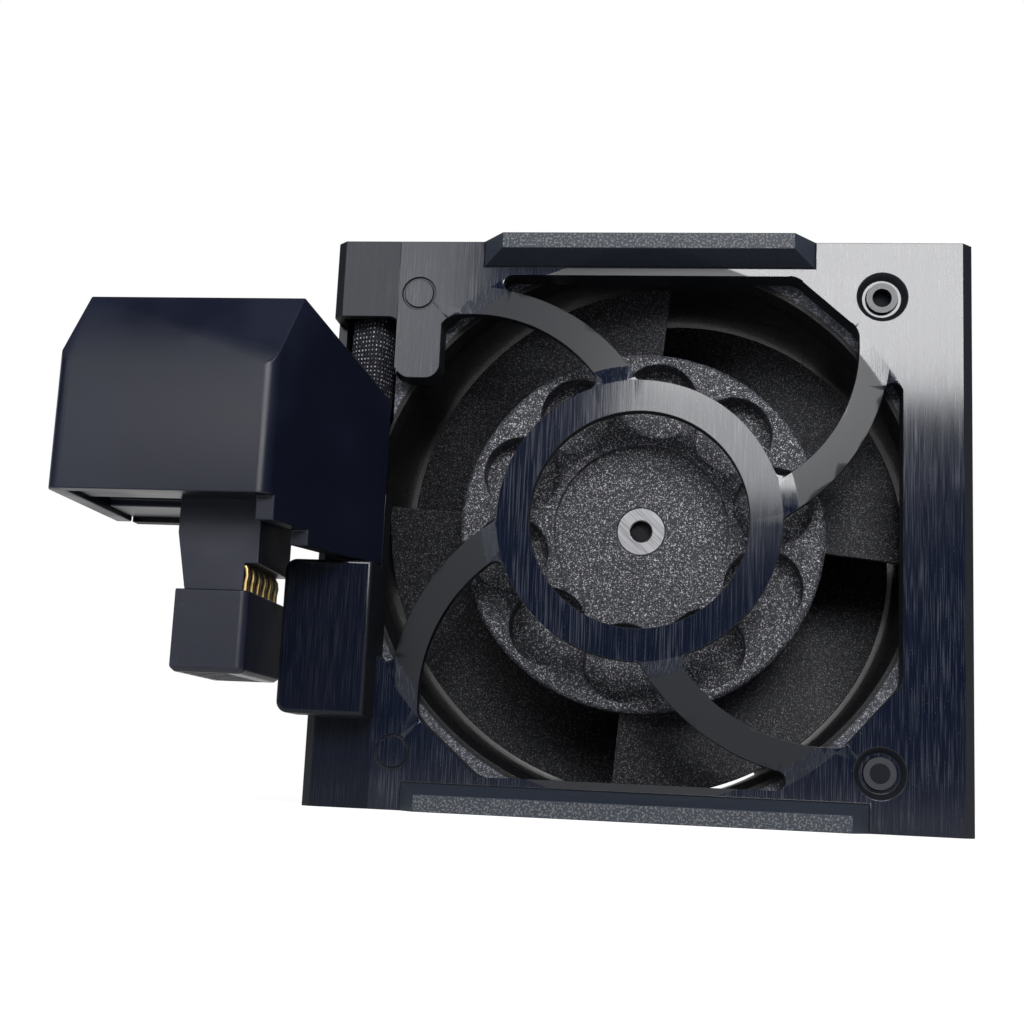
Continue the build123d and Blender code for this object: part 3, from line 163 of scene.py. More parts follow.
class Graph:
    """A node tree, and the calls that add nodes to it and link them."""

    def __init__(self, tree: bpy.types.NodeTree) -> None:
        """Empties the tree."""
        self.tree = tree
        self.tree.nodes.clear()

    def node(
        self,
        kind: str,
        settings: dict[str, Any] | None = None,
        inputs: dict[Any, Any] | None = None,
        output: Any = 0,
    ) -> Value:
        """Adds a node.

        Args:
            kind: Blender's name of the node's type.
            settings: the node's own settings, which are set first.
            inputs: numbers, colours or links by socket.
            output: the socket that is given back.
        """
        made = self.tree.nodes.new(kind)
        for name, setting in (settings or {}).items():
            setattr(made, name, setting)
        for name, value in (inputs or {}).items():
            self.feed(made.inputs[name], value)
        return Value(self, made.outputs[output])

    def feed(self, socket: bpy.types.NodeSocket, value: Any) -> None:
        """Links a Value to a socket, or sets a plain number or colour on it."""
        if isinstance(value, Value):
            self.tree.links.new(value.socket, socket)
        elif isinstance(value, tuple) and len(value) == 3 and socket.type == "RGBA":
            socket.default_value = (*value, 1.0)
        else:
            socket.default_value = value

    def close(self, kind: str, shader: Value) -> None:
        """Adds the output node, fed by the last shader."""
        output = self.tree.nodes.new(kind)
        self.feed(output.inputs["Surface"], shader)

    def ramp(self, value: Value, low: float, high: float) -> Value:
        """0 below one level and 1 above another, with a soft step between them."""
        settings = {"interpolation_type": "SMOOTHSTEP"}
        return self.node("ShaderNodeMapRange", settings, {"Value": value, 1: low, 2: high})

    def part(self, vector: Value, axis: Axis) -> Value:
        """One coordinate of a vector."""
        return self.node("ShaderNodeSeparateXYZ", {}, {0: vector}, int(axis))

    def length(self, vector: Value) -> Value:
        """The length of a vector."""
        return self.node("ShaderNodeVectorMath", {"operation": "LENGTH"}, {0: vector}, "Value")

    def ray(self, kind: str) -> Value:
        """1 for rays of one kind."""
        return self.node("ShaderNodeLightPath", output=f"Is {kind} Ray")

    def mix(self, share: Value, first: Value, second: Value) -> Value:
        """The first shader where the share is 0 and the second where it is 1."""
        return self.node("ShaderNodeMixShader", {}, {0: share, 1: first, 2: second})


class Recipe(Graph):
    """The node tree of one material, with a Principled shader at its end."""

    def __init__(self, name: str) -> None:
        """Makes an empty material."""
        self.material = bpy.data.materials.new(name)
        self.material.use_nodes = True
        super().__init__(self.material.node_tree)
        self.shader = self.tree.nodes.new("ShaderNodeBsdfPrincipled")
        self.close("ShaderNodeOutputMaterial", Value(self, self.shader.outputs[0]))

    def surface(self, **values: Any) -> None:
        """Feeds the shader's sockets; an underscore stands for a space in a socket's name."""
        for name, value in values.items():
            self.feed(self.shader.inputs[name.replace("_", " ")], value)

    def point(self) -> Value:
        """The point in the object's own frame, in metres."""
        return self.node("ShaderNodeTexCoord", output="Object")

    def place(self, grain: Grain = Grain.EVEN, turn: float = 0.0) -> Value:
        """The point, turned about Y and then squeezed by a grain."""
        point = self.point()
        if turn:
            turned = {"Vector": point, "Rotation": (0.0, turn, 0.0)}
            point = self.node("ShaderNodeMapping", {}, turned)
        return self.node("ShaderNodeMapping", {}, {"Vector": point, "Scale": grain.value})

    def along(self, axis: Axis) -> Value:
        """One coordinate of the point, in metres."""
        return self.part(self.point(), axis)

    def reach(self) -> Value:
        """The distance from the fan's axis, in metres."""
        centred = {
            "Vector": self.point(),
            "Location": (0.0, 0.0, -AXIS_HEIGHT * MM),
            "Scale": (1.0, 0.0, 1.0),
        }
        return self.length(self.node("ShaderNodeMapping", {}, centred))

    def scale(self, colour: Value, factor: Value) -> Value:
        """A colour times a number."""
        inputs = {0: colour, "Scale": factor}
        return self.node("ShaderNodeVectorMath", {"operation": "SCALE"}, inputs)

    def noise(self, per_metre: float, detail: float = 2.0, where: Value | None = None) -> Value:
        """Soft noise from 0 to 1, with a number of marks to the metre."""
        vector = where if where is not None else self.place()
        inputs = {"Vector": vector, "Scale": per_metre, "Detail": detail}
        return self.node("ShaderNodeTexNoise", {"noise_dimensions": "3D"}, inputs)

    def cells(self, per_metre: float) -> Value:
        """The distance to the nearest of many scattered points."""
        inputs = {"Vector": self.place(), "Scale": per_metre}
        return self.node("ShaderNodeTexVoronoi", {"feature": "F1"}, inputs)

    def blend(self, mask: Value, first: Any, second: Any) -> Value:
        """The first colour where the mask is 0 and the second where it is 1."""
        inputs = {0: mask, 6: first, 7: second}
        return self.node("ShaderNodeMix", {"data_type": "RGBA"}, inputs, 2)

    def bump(self, height: Value, depth: float) -> Value:
        """A normal from a height of 0 to 1 over a depth in metres."""
        return self.node("ShaderNodeBump", {}, {"Height": height, "Distance": depth})


# Finishes


@dataclass(frozen=True)
class Finish:
    """A surface that several pieces share.

    Attributes:
        name: the material's name.
        colour: the main colour, in linear light.
        roughness: the middle roughness.
        specular: the strength of the mirror layer.
        metallic: 1 for bare metal.
    """

    name: str
    colour: Colour
    roughness: float
    specular: float = 0.5
    metallic: float = 0.0

    def material(self) -> bpy.types.Material:
        """The finish's material, made on its first use."""
        full_name = f"{self.name}_finish"
        ready = bpy.data.materials.get(full_name)
        if ready is not None:
            return ready
        recipe = Recipe(full_name)
        recipe.surface(Specular_IOR_Level=self.specular, Metallic=self.metallic)
        self.dress(recipe)
        return recipe.material

    def dress(self, recipe: Recipe) -> None:
        """Colour, roughness and bump: cloudy and slightly uneven unless a finish says more."""
        cloud = recipe.noise(700.0)
        fine = recipe.noise(5200.0)
        recipe.surface(
            Base_Color=recipe.blend(cloud, self.shade(0.75), self.shade(1.2)),
            Roughness=self.roughness - 0.06 + 0.12 * fine,
            Normal=recipe.bump(fine, 0.006 * MM),
        )

    def shade(self, factor: float) -> Colour:
        """The main colour made darker or lighter."""
        red, green, blue = self.colour
        return (min(red * factor, 1.0), min(green * factor, 1.0), min(blue * factor, 1.0))


@dataclass(frozen=True)
class PolishedPlastic(Finish):
    """Smooth moulded plastic rubbed in fine straight lines, with matt sides, spokes and rails.

    Attributes:
        line_depth: the height of the fine lines, in metres.
        scuff: how pale the scuffs are.
        matt: the colour of the rails' slopes; sides and spokes are darker.
        spark: the colour of the specks on the rails.
        dull: the roughness of sides and rails.
        spoke_dull: the roughness of the spokes.
        aside: how much of a normal lies along Y where a side begins, and where it is full.
        ring: the radius out to which the ring is rubbed, in millimetres; 0 if there are no spokes.
        window: the radius out to which the spokes are matt.
        strip: how far across from the fan's axis the plate's side strips begin.
        tongue: the place across and the height from which the cable tongue is rubbed.
        proud: how far before the plate a rail begins.
        rail_from: how far above or below the axis a raised face is a rail.
    """

    line_depth: float = 0.003 * MM
    scuff: float = 0.10
    matt: Colour = (0.016, 0.021, 0.031)
    spark: Colour = (0.095, 0.093, 0.093)
    dull: float = 0.58
    spoke_dull: float = 0.40
    aside: Pair = (0.97, 0.90)
    ring: float = 0.0
    window: float = 29.1
    strip: float = 26.9
    tongue: Pair = (-20.6, 40.0)
    proud: float = 0.2
    rail_from: float = 27.6

    def dress(self, recipe: Recipe) -> None:
        """Upright lines in the colour, the roughness and the bump, and a matt grain elsewhere."""
        upright = recipe.place(Grain.UPRIGHT)
        lines = recipe.noise(2300.0, 3.0, upright)
        hair = recipe.noise(8200.0, 1.0, upright)
        cloud = recipe.noise(150.0)
        patches = 0.30 + 0.70 * recipe.ramp(cloud, 0.40, 0.62)
        strokes = recipe.ramp(hair, 0.46, 0.74) * patches
        specks = recipe.ramp(recipe.noise(6400.0, 0.0), 0.76, 0.80)
        grain = recipe.noise(4300.0, 2.0)
        soft = recipe.ramp(grain, 0.40, 0.66)
        side = self.side_zone(recipe)
        proud = self.proud_zone(recipe)
        spoke = self.spoke_zone(recipe)
        matt = side.larger(proud).larger(spoke)
        pale = (0.85 * self.scuff, 0.90 * self.scuff, 1.10 * self.scuff)
        rubbed = recipe.blend(0.35 * strokes + 0.4 * specks, self.colour, pale)
        quiet = recipe.blend(soft, self.darker(0.20), self.darker(0.26))
        slope = recipe.blend(soft, self.darker(0.85), self.darker(1.15))
        sparked = recipe.blend(recipe.ramp(grain, 0.50, 0.62), self.matt, self.spark)
        plain = recipe.blend(proud, quiet, recipe.blend(side, sparked, slope))
        smooth = self.roughness - 0.06 + 0.08 * lines + 0.05 * hair
        dulled = self.dull - self.spoke_dull
        height = (0.65 * lines + 0.35 * hair) * (1.0 - matt) + 0.8 * grain * matt
        recipe.surface(
            Base_Color=recipe.blend(matt, rubbed, plain),
            Roughness=smooth * (1.0 - matt) + (self.dull - dulled * spoke) * matt,
            Normal=recipe.bump(height, self.line_depth),
        )

    def side_zone(self, recipe: Recipe) -> Value:
        """1 on the faces that do not look forwards or backwards."""
        normal = recipe.node("ShaderNodeTexCoord", output="Normal")
        return recipe.ramp(recipe.part(normal, Axis.Y).size(), *self.aside)

    def spoke_zone(self, recipe: Recipe) -> Value:
        """1 on the spokes, from the ring out to the window's edge."""
        if not self.ring:
            return self.proud_zone(recipe)
        reach = recipe.reach()
        across = recipe.along(Axis.X)
        height = recipe.along(Axis.Z)
        edge, foot = self.tongue
        tongue = recipe.ramp(across, edge * MM, (edge - STEP) * MM)
        tongue = tongue * recipe.ramp(height, foot * MM, (foot + STEP) * MM)
        outside = recipe.ramp(reach, self.ring * MM, (self.ring + RING_STEP) * MM)
        inside = recipe.ramp(reach, (self.window + WINDOW_STEP) * MM, self.window * MM)
        between = recipe.ramp(across.size(), (self.strip + STEP) * MM, self.strip * MM)
        return outside * (1.0 - tongue) * inside * between

    def proud_zone(self, recipe: Recipe) -> Value:
        """1 on the rails, which stand proud of the plate along its top and its bottom."""
        front = recipe.along(Axis.Y)
        raised = recipe.ramp(front, -self.proud * MM, -(self.proud + PROUD_STEP) * MM)
        away = (recipe.along(Axis.Z) - AXIS_HEIGHT * MM).size()
        return raised * recipe.ramp(away, self.rail_from * MM, (self.rail_from + STEP) * MM)

    def darker(self, factor: float) -> Colour:
        """The matt colour made darker or lighter."""
        red, green, blue = self.matt
        return (red * factor, green * factor, blue * factor)


@dataclass(frozen=True)
class SatinPlastic(Finish):
    """Satin moulded plastic with a fine even grain and faint handling marks."""

    def dress(self, recipe: Recipe) -> None:
        """A fine grain, level flow lines and a few dull patches."""
        grain = recipe.noise(5600.0, 3.0)
        flow = recipe.noise(520.0, 2.0, recipe.place(Grain.LEVEL))
        patch = recipe.ramp(recipe.noise(85.0), 0.42, 0.66)
        dust = recipe.ramp(recipe.noise(3900.0, 0.0), 0.80, 0.84)
        recipe.surface(
            Base_Color=recipe.blend(dust + 0.25 * patch, self.shade(0.9), self.shade(2.2)),
            Roughness=self.roughness - 0.07 + 0.10 * patch + 0.08 * flow,
            Normal=recipe.bump(0.8 * grain + 0.4 * flow, 0.008 * MM),
        )


@dataclass(frozen=True)
class SparkPlastic(Finish):
    """Filled plastic from a spark-eroded mould, dark grey, with specks painted bright as glints.

    Attributes:
        painted_glint: the colour of the specks, painted bright as glints.
        depth: the height of the grain, in metres.
        painted_shade_radius: the radius about the fan's axis, in millimetres, at which the painted
            shade changes.
        inside: painted shade, the share of the colour kept nearer the axis than that radius.
        outside: painted shade, the share of the colour kept beyond that radius.
    """

    painted_glint: Colour = (0.30, 0.30, 0.31)
    depth: float = 0.05 * MM
    painted_shade_radius: float = 19.95
    inside: float = 1.0
    outside: float = 1.0

    def dress(self, recipe: Recipe) -> None:
        """Coarse grain with its high points and specks painted bright as glints, and painted shade
        on one side of a radius about the axis.
        """
        coarse = recipe.noise(2900.0, 2.0)
        fine = recipe.noise(7800.0, 1.0)
        # Painted light: the grain's high points are painted lighter and its hollows darker, and
        # specks are painted bright as glints, mostly on the high points.
        painted_light_tops = recipe.ramp(coarse, 0.40, 0.62)
        specks = recipe.ramp(fine, 0.58, 0.66) * (0.45 + 0.55 * painted_light_tops)
        ground = recipe.blend(painted_light_tops, self.shade(0.50), self.shade(1.45))
        grain = recipe.blend(specks, ground, self.painted_glint)
        # Painted shade: the colour is dimmed on one side of a radius about the axis, for the dark
        # fan bore and the dark blades beyond the hub.
        painted_shade_mask = recipe.ramp(recipe.reach(), self.painted_shade_radius * MM, (self.painted_shade_radius + 0.1) * MM)
        bright = self.inside + (self.outside - self.inside) * painted_shade_mask
        recipe.surface(
            Base_Color=recipe.scale(grain, bright),
            Roughness=self.roughness - 0.28 * specks,
            Normal=recipe.bump(0.7 * coarse + 0.3 * fine, self.depth),
        )


@dataclass(frozen=True)
class TurnedMetal(Finish):
    """Bright metal with fine slanting scratches.

    Attributes:
        slant: the angle of the scratches about Y, in radians.
    """

    slant: float = 0.0

    def dress(self, recipe: Recipe) -> None:
        """Scratches in one direction over a soft cloud."""
        along = recipe.place(Grain.UPRIGHT, self.slant)
        lines = recipe.noise(5200.0, 3.0, along)
        deep = recipe.ramp(recipe.noise(9100.0, 0.0, along), 0.52, 0.72)
        recipe.surface(
            Base_Color=recipe.blend(deep, self.colour, self.shade(0.55)),
            Roughness=self.roughness - 0.1 + 0.25 * lines,
            Normal=recipe.bump(lines, 0.006 * MM),
        )


@dataclass(frozen=True)
class StackedSheet(Finish):
    """Fine bands across the depth, for laminations and for wound wire.

    Attributes:
        pitch: the height of one band, in metres.
        depth: the height of the ridges, in metres.
    """

    pitch: float = 0.5 * MM
    depth: float = 0.05 * MM

    def dress(self, recipe: Recipe) -> None:
        """Ridges along Y with darker joints."""
        wave = (recipe.along(Axis.Y) * (math.pi / self.pitch)).sine().size()
        cloud = recipe.noise(900.0)
        recipe.surface(
            Base_Color=recipe.blend(wave, self.shade(0.45), self.shade(1.15)),
            Roughness=self.roughness - 0.08 + 0.16 * cloud,
            Normal=recipe.bump(wave, self.depth),
        )


@dataclass(frozen=True)
class WovenFabric(Finish):
    """Woven fibre that follows the piece's own UV map, one cell to a unit.

    Attributes:
        painted_sheen_colour: the colour of the painted sheen on the fibre where it lies uppermost.
    """

    painted_sheen_colour: Colour = (0.32, 0.32, 0.35)

    def dress(self, recipe: Recipe) -> None:
        """Rounded stitches in rows, each with a painted sheen on its highest part."""
        cell = recipe.node("ShaderNodeUVMap", {"uv_map": WEAVE})
        column = (recipe.part(cell, Axis.X) * math.pi).sine().size()
        row = ((recipe.part(cell, Axis.Y) + 0.5 * column) * math.pi).sine().size()
        stitch = column * row
        # Painted sheen: the highest part of each stitch is painted pale, in patches.
        painted_sheen = recipe.ramp(stitch, 0.74, 0.96) * recipe.ramp(recipe.noise(1900.0), 0.38, 0.62)
        recipe.surface(
            Base_Color=recipe.blend(painted_sheen, self.colour, self.painted_sheen_colour),
            Roughness=self.roughness - 0.15 * painted_sheen,
            Normal=recipe.bump(stitch, 0.12 * MM),
        )


@dataclass(frozen=True)
class CircuitBoard(Finish):
    """Green solder resist over tracks."""

    def dress(self, recipe: Recipe) -> None:
        """Lighter tracks under a glossy coat."""
        edge = recipe.cells(420.0)
        track = recipe.ramp((edge - 0.45).size(), 0.03, 0.05)
        recipe.surface(
            Base_Color=recipe.blend(track, self.shade(1.9), self.colour),
            Roughness=self.roughness,
            Normal=recipe.bump(track, 0.02 * MM),
        )


PLATE = PolishedPlastic("plate", (0.0026, 0.0044, 0.0115), 0.10, 0.28, ring=16.45)
BRACKET = PolishedPlastic(
    "bracket", (0.0016, 0.0028, 0.0080), 0.16, 0.2, scuff=0.03, rail_from=90.0
)
HOOD = SatinPlastic("hood", (0.0034, 0.0048, 0.0120), 0.36, 0.26)
PLUG = SatinPlastic("plug", (0.0055, 0.0068, 0.0150), 0.38, 0.32)
SHELL = SparkPlastic(
    "shell", (0.012, 0.013, 0.017), 0.55, 0.3, painted_glint=(0.08, 0.08, 0.09), depth=0.035 * MM
)
# Painted shade: the housing inside the bore's radius is painted almost black.
HOUSING = SparkPlastic("housing", (0.036, 0.038, 0.050), 0.58, 0.2, painted_shade_radius=30.1, inside=0.06)
# Painted shade: the impeller's blades beyond the hub are painted darker.
IMPELLER = SparkPlastic(
    "impeller", (0.015, 0.016, 0.021), 0.60, 0.2, painted_glint=(0.33, 0.33, 0.35), outside=0.34
)
BUSH = TurnedMetal("bush_metal", (0.115, 0.115, 0.120), 0.36, 0.4, 1.0, slant=0.8)
BLACKENED = TurnedMetal("blackened_steel", (0.012, 0.012, 0.013), 0.60, 0.3, 1.0, slant=0.8)
STEEL = TurnedMetal("steel", (0.52, 0.52, 0.54), 0.34, 0.5, 1.0)
BEARING = TurnedMetal("bearing_steel", (0.66, 0.66, 0.68), 0.20, 0.5, 1.0)
BRASS = TurnedMetal("brass", (0.60, 0.42, 0.16), 0.32, 0.5, 1.0)
ZINC = TurnedMetal("zinc", (0.50, 0.51, 0.54), 0.42, 0.5, 1.0)
GOLD = Finish("contact_gold", (0.42, 0.30, 0.12), 0.42, 0.5, 1.0)
MAGNET = Finish("magnet", (0.035, 0.033, 0.031), 0.62)
NYLON = Finish("nylon", (0.62, 0.58, 0.47), 0.45)
CORE = StackedSheet("laminations", (0.30, 0.31, 0.33), 0.42, 0.5, 1.0)
COPPER = StackedSheet(
    "winding", (0.55, 0.21, 0.08), 0.35, 0.5, 1.0, pitch=0.4 * MM, depth=0.12 * MM
)
BOARD = CircuitBoard("board", (0.010, 0.085, 0.030), 0.25)
CHIP = Finish("chip", (0.018, 0.018, 0.020), 0.50)
RIVET = Finish("rivet_plastic", (0.010, 0.011, 0.016), 0.36, 0.3)
PIN = Finish("pin_plastic", (0.006, 0.007, 0.010), 0.70, 0.08)
RUBBER = Finish("rubber", (0.016, 0.016, 0.016), 0.80, 0.3)
FABRIC = WovenFabric("sleeve_fabric", (0.0045, 0.0050, 0.0080), 0.60, 0.2)
LEAD = Finish("lead_insulation", (0.012, 0.012, 0.014), 0.38)


# Mesh work


class Bench:
    """Mesh work with Blender's own operators, on one piece at a time."""

    @staticmethod
    def take(piece: Piece) -> None:
        """Selects one piece and nothing else."""
        bpy.ops.object.select_all(action="DESELECT")
        piece.select_set(True)
        bpy.context.view_layer.objects.active = piece

    @classmethod
    @contextmanager
    def editing(cls, piece: Piece) -> Iterator[None]:
        """Edit mode on a piece, with nothing of its mesh selected at first."""
        cls.take(piece)
        bpy.ops.object.mode_set(mode="EDIT")
        bpy.ops.mesh.select_mode(type="FACE")
        bpy.ops.mesh.select_all(action="DESELECT")
        yield
        bpy.ops.object.mode_set(mode="OBJECT")

    @staticmethod
    def pick(piece: Piece, test: Callable[[Vector], bool]) -> None:
        """Selects faces, in edit mode, by their normal."""
        bpy.ops.mesh.select_all(action="DESELECT")
        bpy.ops.object.mode_set(mode="OBJECT")
        for face in piece.data.polygons:
            face.select = test(face.normal)
        bpy.ops.object.mode_set(mode="EDIT")

    @classmethod
    def settle(cls, piece: Piece) -> None:
        """Puts a piece's place, turn and scale into its mesh."""
        cls.take(piece)
        bpy.ops.object.transform_apply(location=True, rotation=True, scale=True)

    @classmethod
    def copy_of(cls, node: str, name: str) -> Piece:
        """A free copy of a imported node, with its loose triangles joined into clean faces."""
        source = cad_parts[node]
        piece = bpy.data.objects.new(name, source.data.copy())
        bpy.context.scene.collection.objects.link(piece)
        with cls.editing(piece):
            bpy.ops.mesh.select_all(action="SELECT")
            bpy.ops.mesh.customdata_custom_splitnormals_clear()
            bpy.ops.mesh.remove_doubles(threshold=MERGE * MM)
            bpy.ops.mesh.dissolve_limited(angle_limit=math.radians(FLAT))
            bpy.ops.mesh.quads_convert_to_tris(quad_method="BEAUTY", ngon_method="BEAUTY")
        return piece

    @staticmethod
    def twin(piece: Piece) -> Piece:
        """A copy of a piece, with a mesh of its own."""
        twin = piece.copy()
        twin.data = piece.data.copy()
        bpy.context.scene.collection.objects.link(twin)
        return twin

    @classmethod
    def apply(cls, piece: Piece, kind: str, **settings: Any) -> None:
        """Adds a modifier with its settings and applies it."""
        modifier = piece.modifiers.new(kind.title(), kind)
        for name, value in settings.items():
            setattr(modifier, name, value)
        cls.take(piece)
        bpy.ops.object.modifier_apply(modifier=modifier.name)

    @classmethod
    def round_edges(
        cls, piece: Piece, width: float, angle: float = SHARP, level: bool = False
    ) -> None:
        """Rounds every edge that is sharper than an angle, and shades the piece smoothly.

        Args:
            piece: the piece.
            width: the rounding, in millimetres.
            angle: the least sharpness, in degrees.
            level: whether the faces that look straight forwards or backwards are shaded flat.
        """
        trial = cls.twin(piece)
        cls.weigh(trial, angle, [], 0.0)
        cls.bevel(trial, width)
        avoid = cls.folds(trial)
        bpy.data.objects.remove(trial)
        cls.weigh(piece, angle, avoid, FOLD_MARGIN * width * MM)
        cls.bevel(piece, width)
        with cls.editing(piece):
            bpy.ops.mesh.select_mode(type="EDGE")
            bpy.ops.mesh.edges_select_sharp(sharpness=math.radians(CREASE))
            bpy.ops.mesh.mark_sharp()
        bpy.ops.object.shade_smooth(keep_sharp_edges=True)
        if level:
            with cls.editing(piece):
                cls.pick(piece, lambda normal: abs(normal.y) > STRAIGHT)
                bpy.ops.mesh.faces_shade_flat()
        cls.apply(piece, "WEIGHTED_NORMAL", weight=50, keep_sharp=True, use_face_influence=True)

    @classmethod
    def bevel(cls, piece: Piece, width: float) -> None:
        """Rounds the weighted edges by a width in millimetres."""
        cls.apply(
            piece,
            "BEVEL",
            width=width * MM,
            segments=2,
            limit_method="WEIGHT",
            use_clamp_overlap=False,
            loop_slide=False,
            face_strength_mode="FSTR_ALL",
        )

    @staticmethod
    def neighbours(mesh: bpy.types.Mesh) -> dict[tuple[int, int], list[int]]:
        """The faces at each edge, by the edge's two corners."""
        table: dict[tuple[int, int], list[int]] = {}
        for face in mesh.polygons:
            for key in face.edge_keys:
                table.setdefault(key, []).append(face.index)
        return table

    @classmethod
    def folds(cls, piece: Piece) -> list[Vector]:
        """The places where a rounding turned a face over."""
        mesh = piece.data
        places = []
        for faces in cls.neighbours(mesh).values():
            first, second = mesh.polygons[faces[0]], mesh.polygons[faces[-1]]
            if first.normal.dot(second.normal) < FOLD:
                places += [first.center.copy(), second.center.copy()]
        return places

    @classmethod
    def weigh(cls, piece: Piece, angle: float, avoid: Sequence[Vector], margin: float) -> None:
        """Gives a bevel weight to each sharp edge that keeps clear of some places.

        Args:
            piece: the piece.
            angle: the least sharpness, in degrees.
            avoid: the places.
            margin: how far an edge's corners keep from them, in metres.
        """
        mesh = piece.data
        tree = KDTree(len(avoid))
        for index, place in enumerate(avoid):
            tree.insert(place, index)
        tree.balance()
        table = cls.neighbours(mesh)
        limit = math.cos(math.radians(angle))
        weights = mesh.attributes.new("bevel_weight_edge", "FLOAT", "EDGE")
        for edge in mesh.edges:
            faces = table[edge.key]
            first, second = mesh.polygons[faces[0]], mesh.polygons[faces[-1]]
            sharp = first.normal.dot(second.normal) < limit
            corners = [mesh.vertices[index].co for index in edge.vertices]
            clear = not any(tree.find_range(corner, margin) for corner in corners)
            weights.data[edge.index].value = 1.0 if sharp and clear else 0.0

    @classmethod
    def disc(cls, name: str, radius: float, front: float, back: float, sides: int) -> Piece:
        """A round blank about the fan's axis, from its radius and depths in millimetres."""
        bpy.ops.object.select_all(action="DESELECT")
        bpy.ops.mesh.primitive_cylinder_add(
            vertices=sides,
            radius=radius * MM,
            depth=(back - front) * MM,
            location=(0.0, (front + back) / 2 * MM, AXIS_HEIGHT * MM),
            rotation=(math.pi / 2, 0.0, 0.0),
        )
        piece = bpy.context.object
        piece.name = name
        cls.settle(piece)
        return piece

    @classmethod
    def block(cls, name: str, low: Point, high: Point) -> Piece:
        """A square blank between two corners, in millimetres."""
        bpy.ops.object.select_all(action="DESELECT")
        middle = [(a + b) / 2 * MM for a, b in zip(low, high)]
        bpy.ops.mesh.primitive_cube_add(size=1.0, location=middle)
        piece = bpy.context.object
        piece.name = name
        piece.scale = [(b - a) * MM for a, b in zip(low, high)]
        cls.settle(piece)
        return piece


def deliver(piece: Piece, finish: Finish, body: Body, slot: str, *nodes: str) -> None:
    """Gives a piece its finish and its body, and hides the nodes that it stands for."""
    piece.data.materials.clear()
    piece.data.materials.append(finish.material())
    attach(piece, body.value)
    if nodes:
        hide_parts(*nodes)
    faces = len(piece.data.polygons)
    log.info("%s: %s on %s, %d faces", piece.name, finish.name, body.value, faces)


def dress_node(node: str, finish: Finish) -> None:
    """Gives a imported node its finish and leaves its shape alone."""
    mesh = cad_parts[node].data
    mesh.materials.clear()
    mesh.materials.append(finish.material())
    log.info("%s: %s", node, finish.name)


# Sub-assemblies


@dataclass
class Mouldings:
    """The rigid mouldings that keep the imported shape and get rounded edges.

    Attributes:
        plate_edge: rounding of the front plate, in millimetres.
        hood_edge: rounding of the hood.
        fan_edge: rounding of the fan's frame.
        plug_edge: rounding of the plug.
    """

    plate_edge: float = 0.07
    hood_edge: float = 0.14
    fan_edge: float = 0.10
    plug_edge: float = 0.15

    def build(self) -> None:
        """Makes each moulding from its node."""
        self.mould("front_guard", "guard_plate", self.plate_edge, PLATE, "guard_plastic")
        self.mould("side_bracket", "bracket_moulding", self.plate_edge, BRACKET, "carrier_plastic")
        self.mould("carrier_shell", "shell_moulding", self.fan_edge, SHELL, "carrier_plastic")
        self.mould("cable_hood", "hood_moulding", self.hood_edge, HOOD, "hood_plastic")
        self.mould("connector_holder", "holder_moulding", self.plug_edge, HOOD, "hood_plastic")
        self.mould("connector_body", "plug_upper", self.plug_edge, PLUG, "plug_plastic")
        self.mould("connector_block", "plug_block", self.plug_edge, PLUG, "plug_plastic")
        self.mould("fan_housing", "fan_frame", self.fan_edge, HOUSING, "fan_plastic")

    @staticmethod
    def mould(node: str, name: str, edge: float, finish: Finish, slot: str) -> None:
        """One rounded moulding in place of its node."""
        piece = Bench.copy_of(node, name)
        Bench.round_edges(piece, edge, level=isinstance(finish, PolishedPlastic))
        deliver(piece, finish, Body.MODULE, slot, node)


@dataclass
class Rotor:
    """The impeller and the bush in its middle.

    Attributes:
        blade_edge: rounding of the hub and the blades, in millimetres.
        bush_chamfer: the bush's front chamfer.
        bush_edge: rounding of its edges.
        hole: the radius of its hole.
        hole_depth: the depth of that hole.
        sides: the faces around the bush.
        smooth: the angle in degrees up to which its faces are shaded as one.
    """

    blade_edge: float = 0.12
    bush_chamfer: float = 0.12
    bush_edge: float = 0.06
    hole: float = 1.1
    hole_depth: float = 1.0
    sides: int = 96
    smooth: float = 35.0

    def build(self) -> None:
        """Makes the impeller and the bush."""
        impeller = Bench.copy_of("impeller", "fan_impeller")
        Bench.round_edges(impeller, self.blade_edge)
        deliver(impeller, IMPELLER, Body.ROTOR, "fan_plastic", "impeller")
        deliver(self.bush(), BUSH, Body.ROTOR, "turned_metal", "shaft_bush")
        dress_node("motor_shaft", BLACKENED)
        for node in ("retaining_clip", "rotor_cup"):
            dress_node(node, STEEL)
        dress_node("shaft_spacer", BRASS)
        dress_node("ring_magnet", MAGNET)
        dress_node("bearing_inner_rings", BEARING)

    def bush(self) -> Piece:
        """The metal bush: a disc inset to its hole, sunk and chamfered."""
        low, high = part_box("shaft_bush")
        radius = (high.x - low.x) / 2 / MM
        chamfer = self.bush_chamfer * MM
        land = (radius - self.hole - 2 * self.bush_chamfer) * MM
        sink = {"value": (0.0, self.hole_depth * MM, 0.0)}
        piece = Bench.disc("hub_bush", radius, low.y / MM, high.y / MM, self.sides)
        with Bench.editing(piece):
            Bench.pick(piece, lambda normal: normal.y < -FACING)
            bpy.ops.mesh.inset(thickness=chamfer)
            bpy.ops.mesh.inset(thickness=land)
            bpy.ops.mesh.inset(thickness=chamfer, depth=-chamfer)
            bpy.ops.mesh.extrude_region_move(TRANSFORM_OT_translate=sink)
        Bench.apply(
            piece,
            "BEVEL",
            width=self.bush_edge * MM,
            segments=2,
            limit_method="ANGLE",
            angle_limit=math.radians(SHARP),
        )
        Bench.take(piece)
        bpy.ops.object.shade_smooth_by_angle(angle=math.radians(self.smooth))
        with Bench.editing(piece):
            Bench.pick(piece, lambda normal: normal.y < -STRAIGHT)
            bpy.ops.mesh.faces_shade_flat()
        return piece


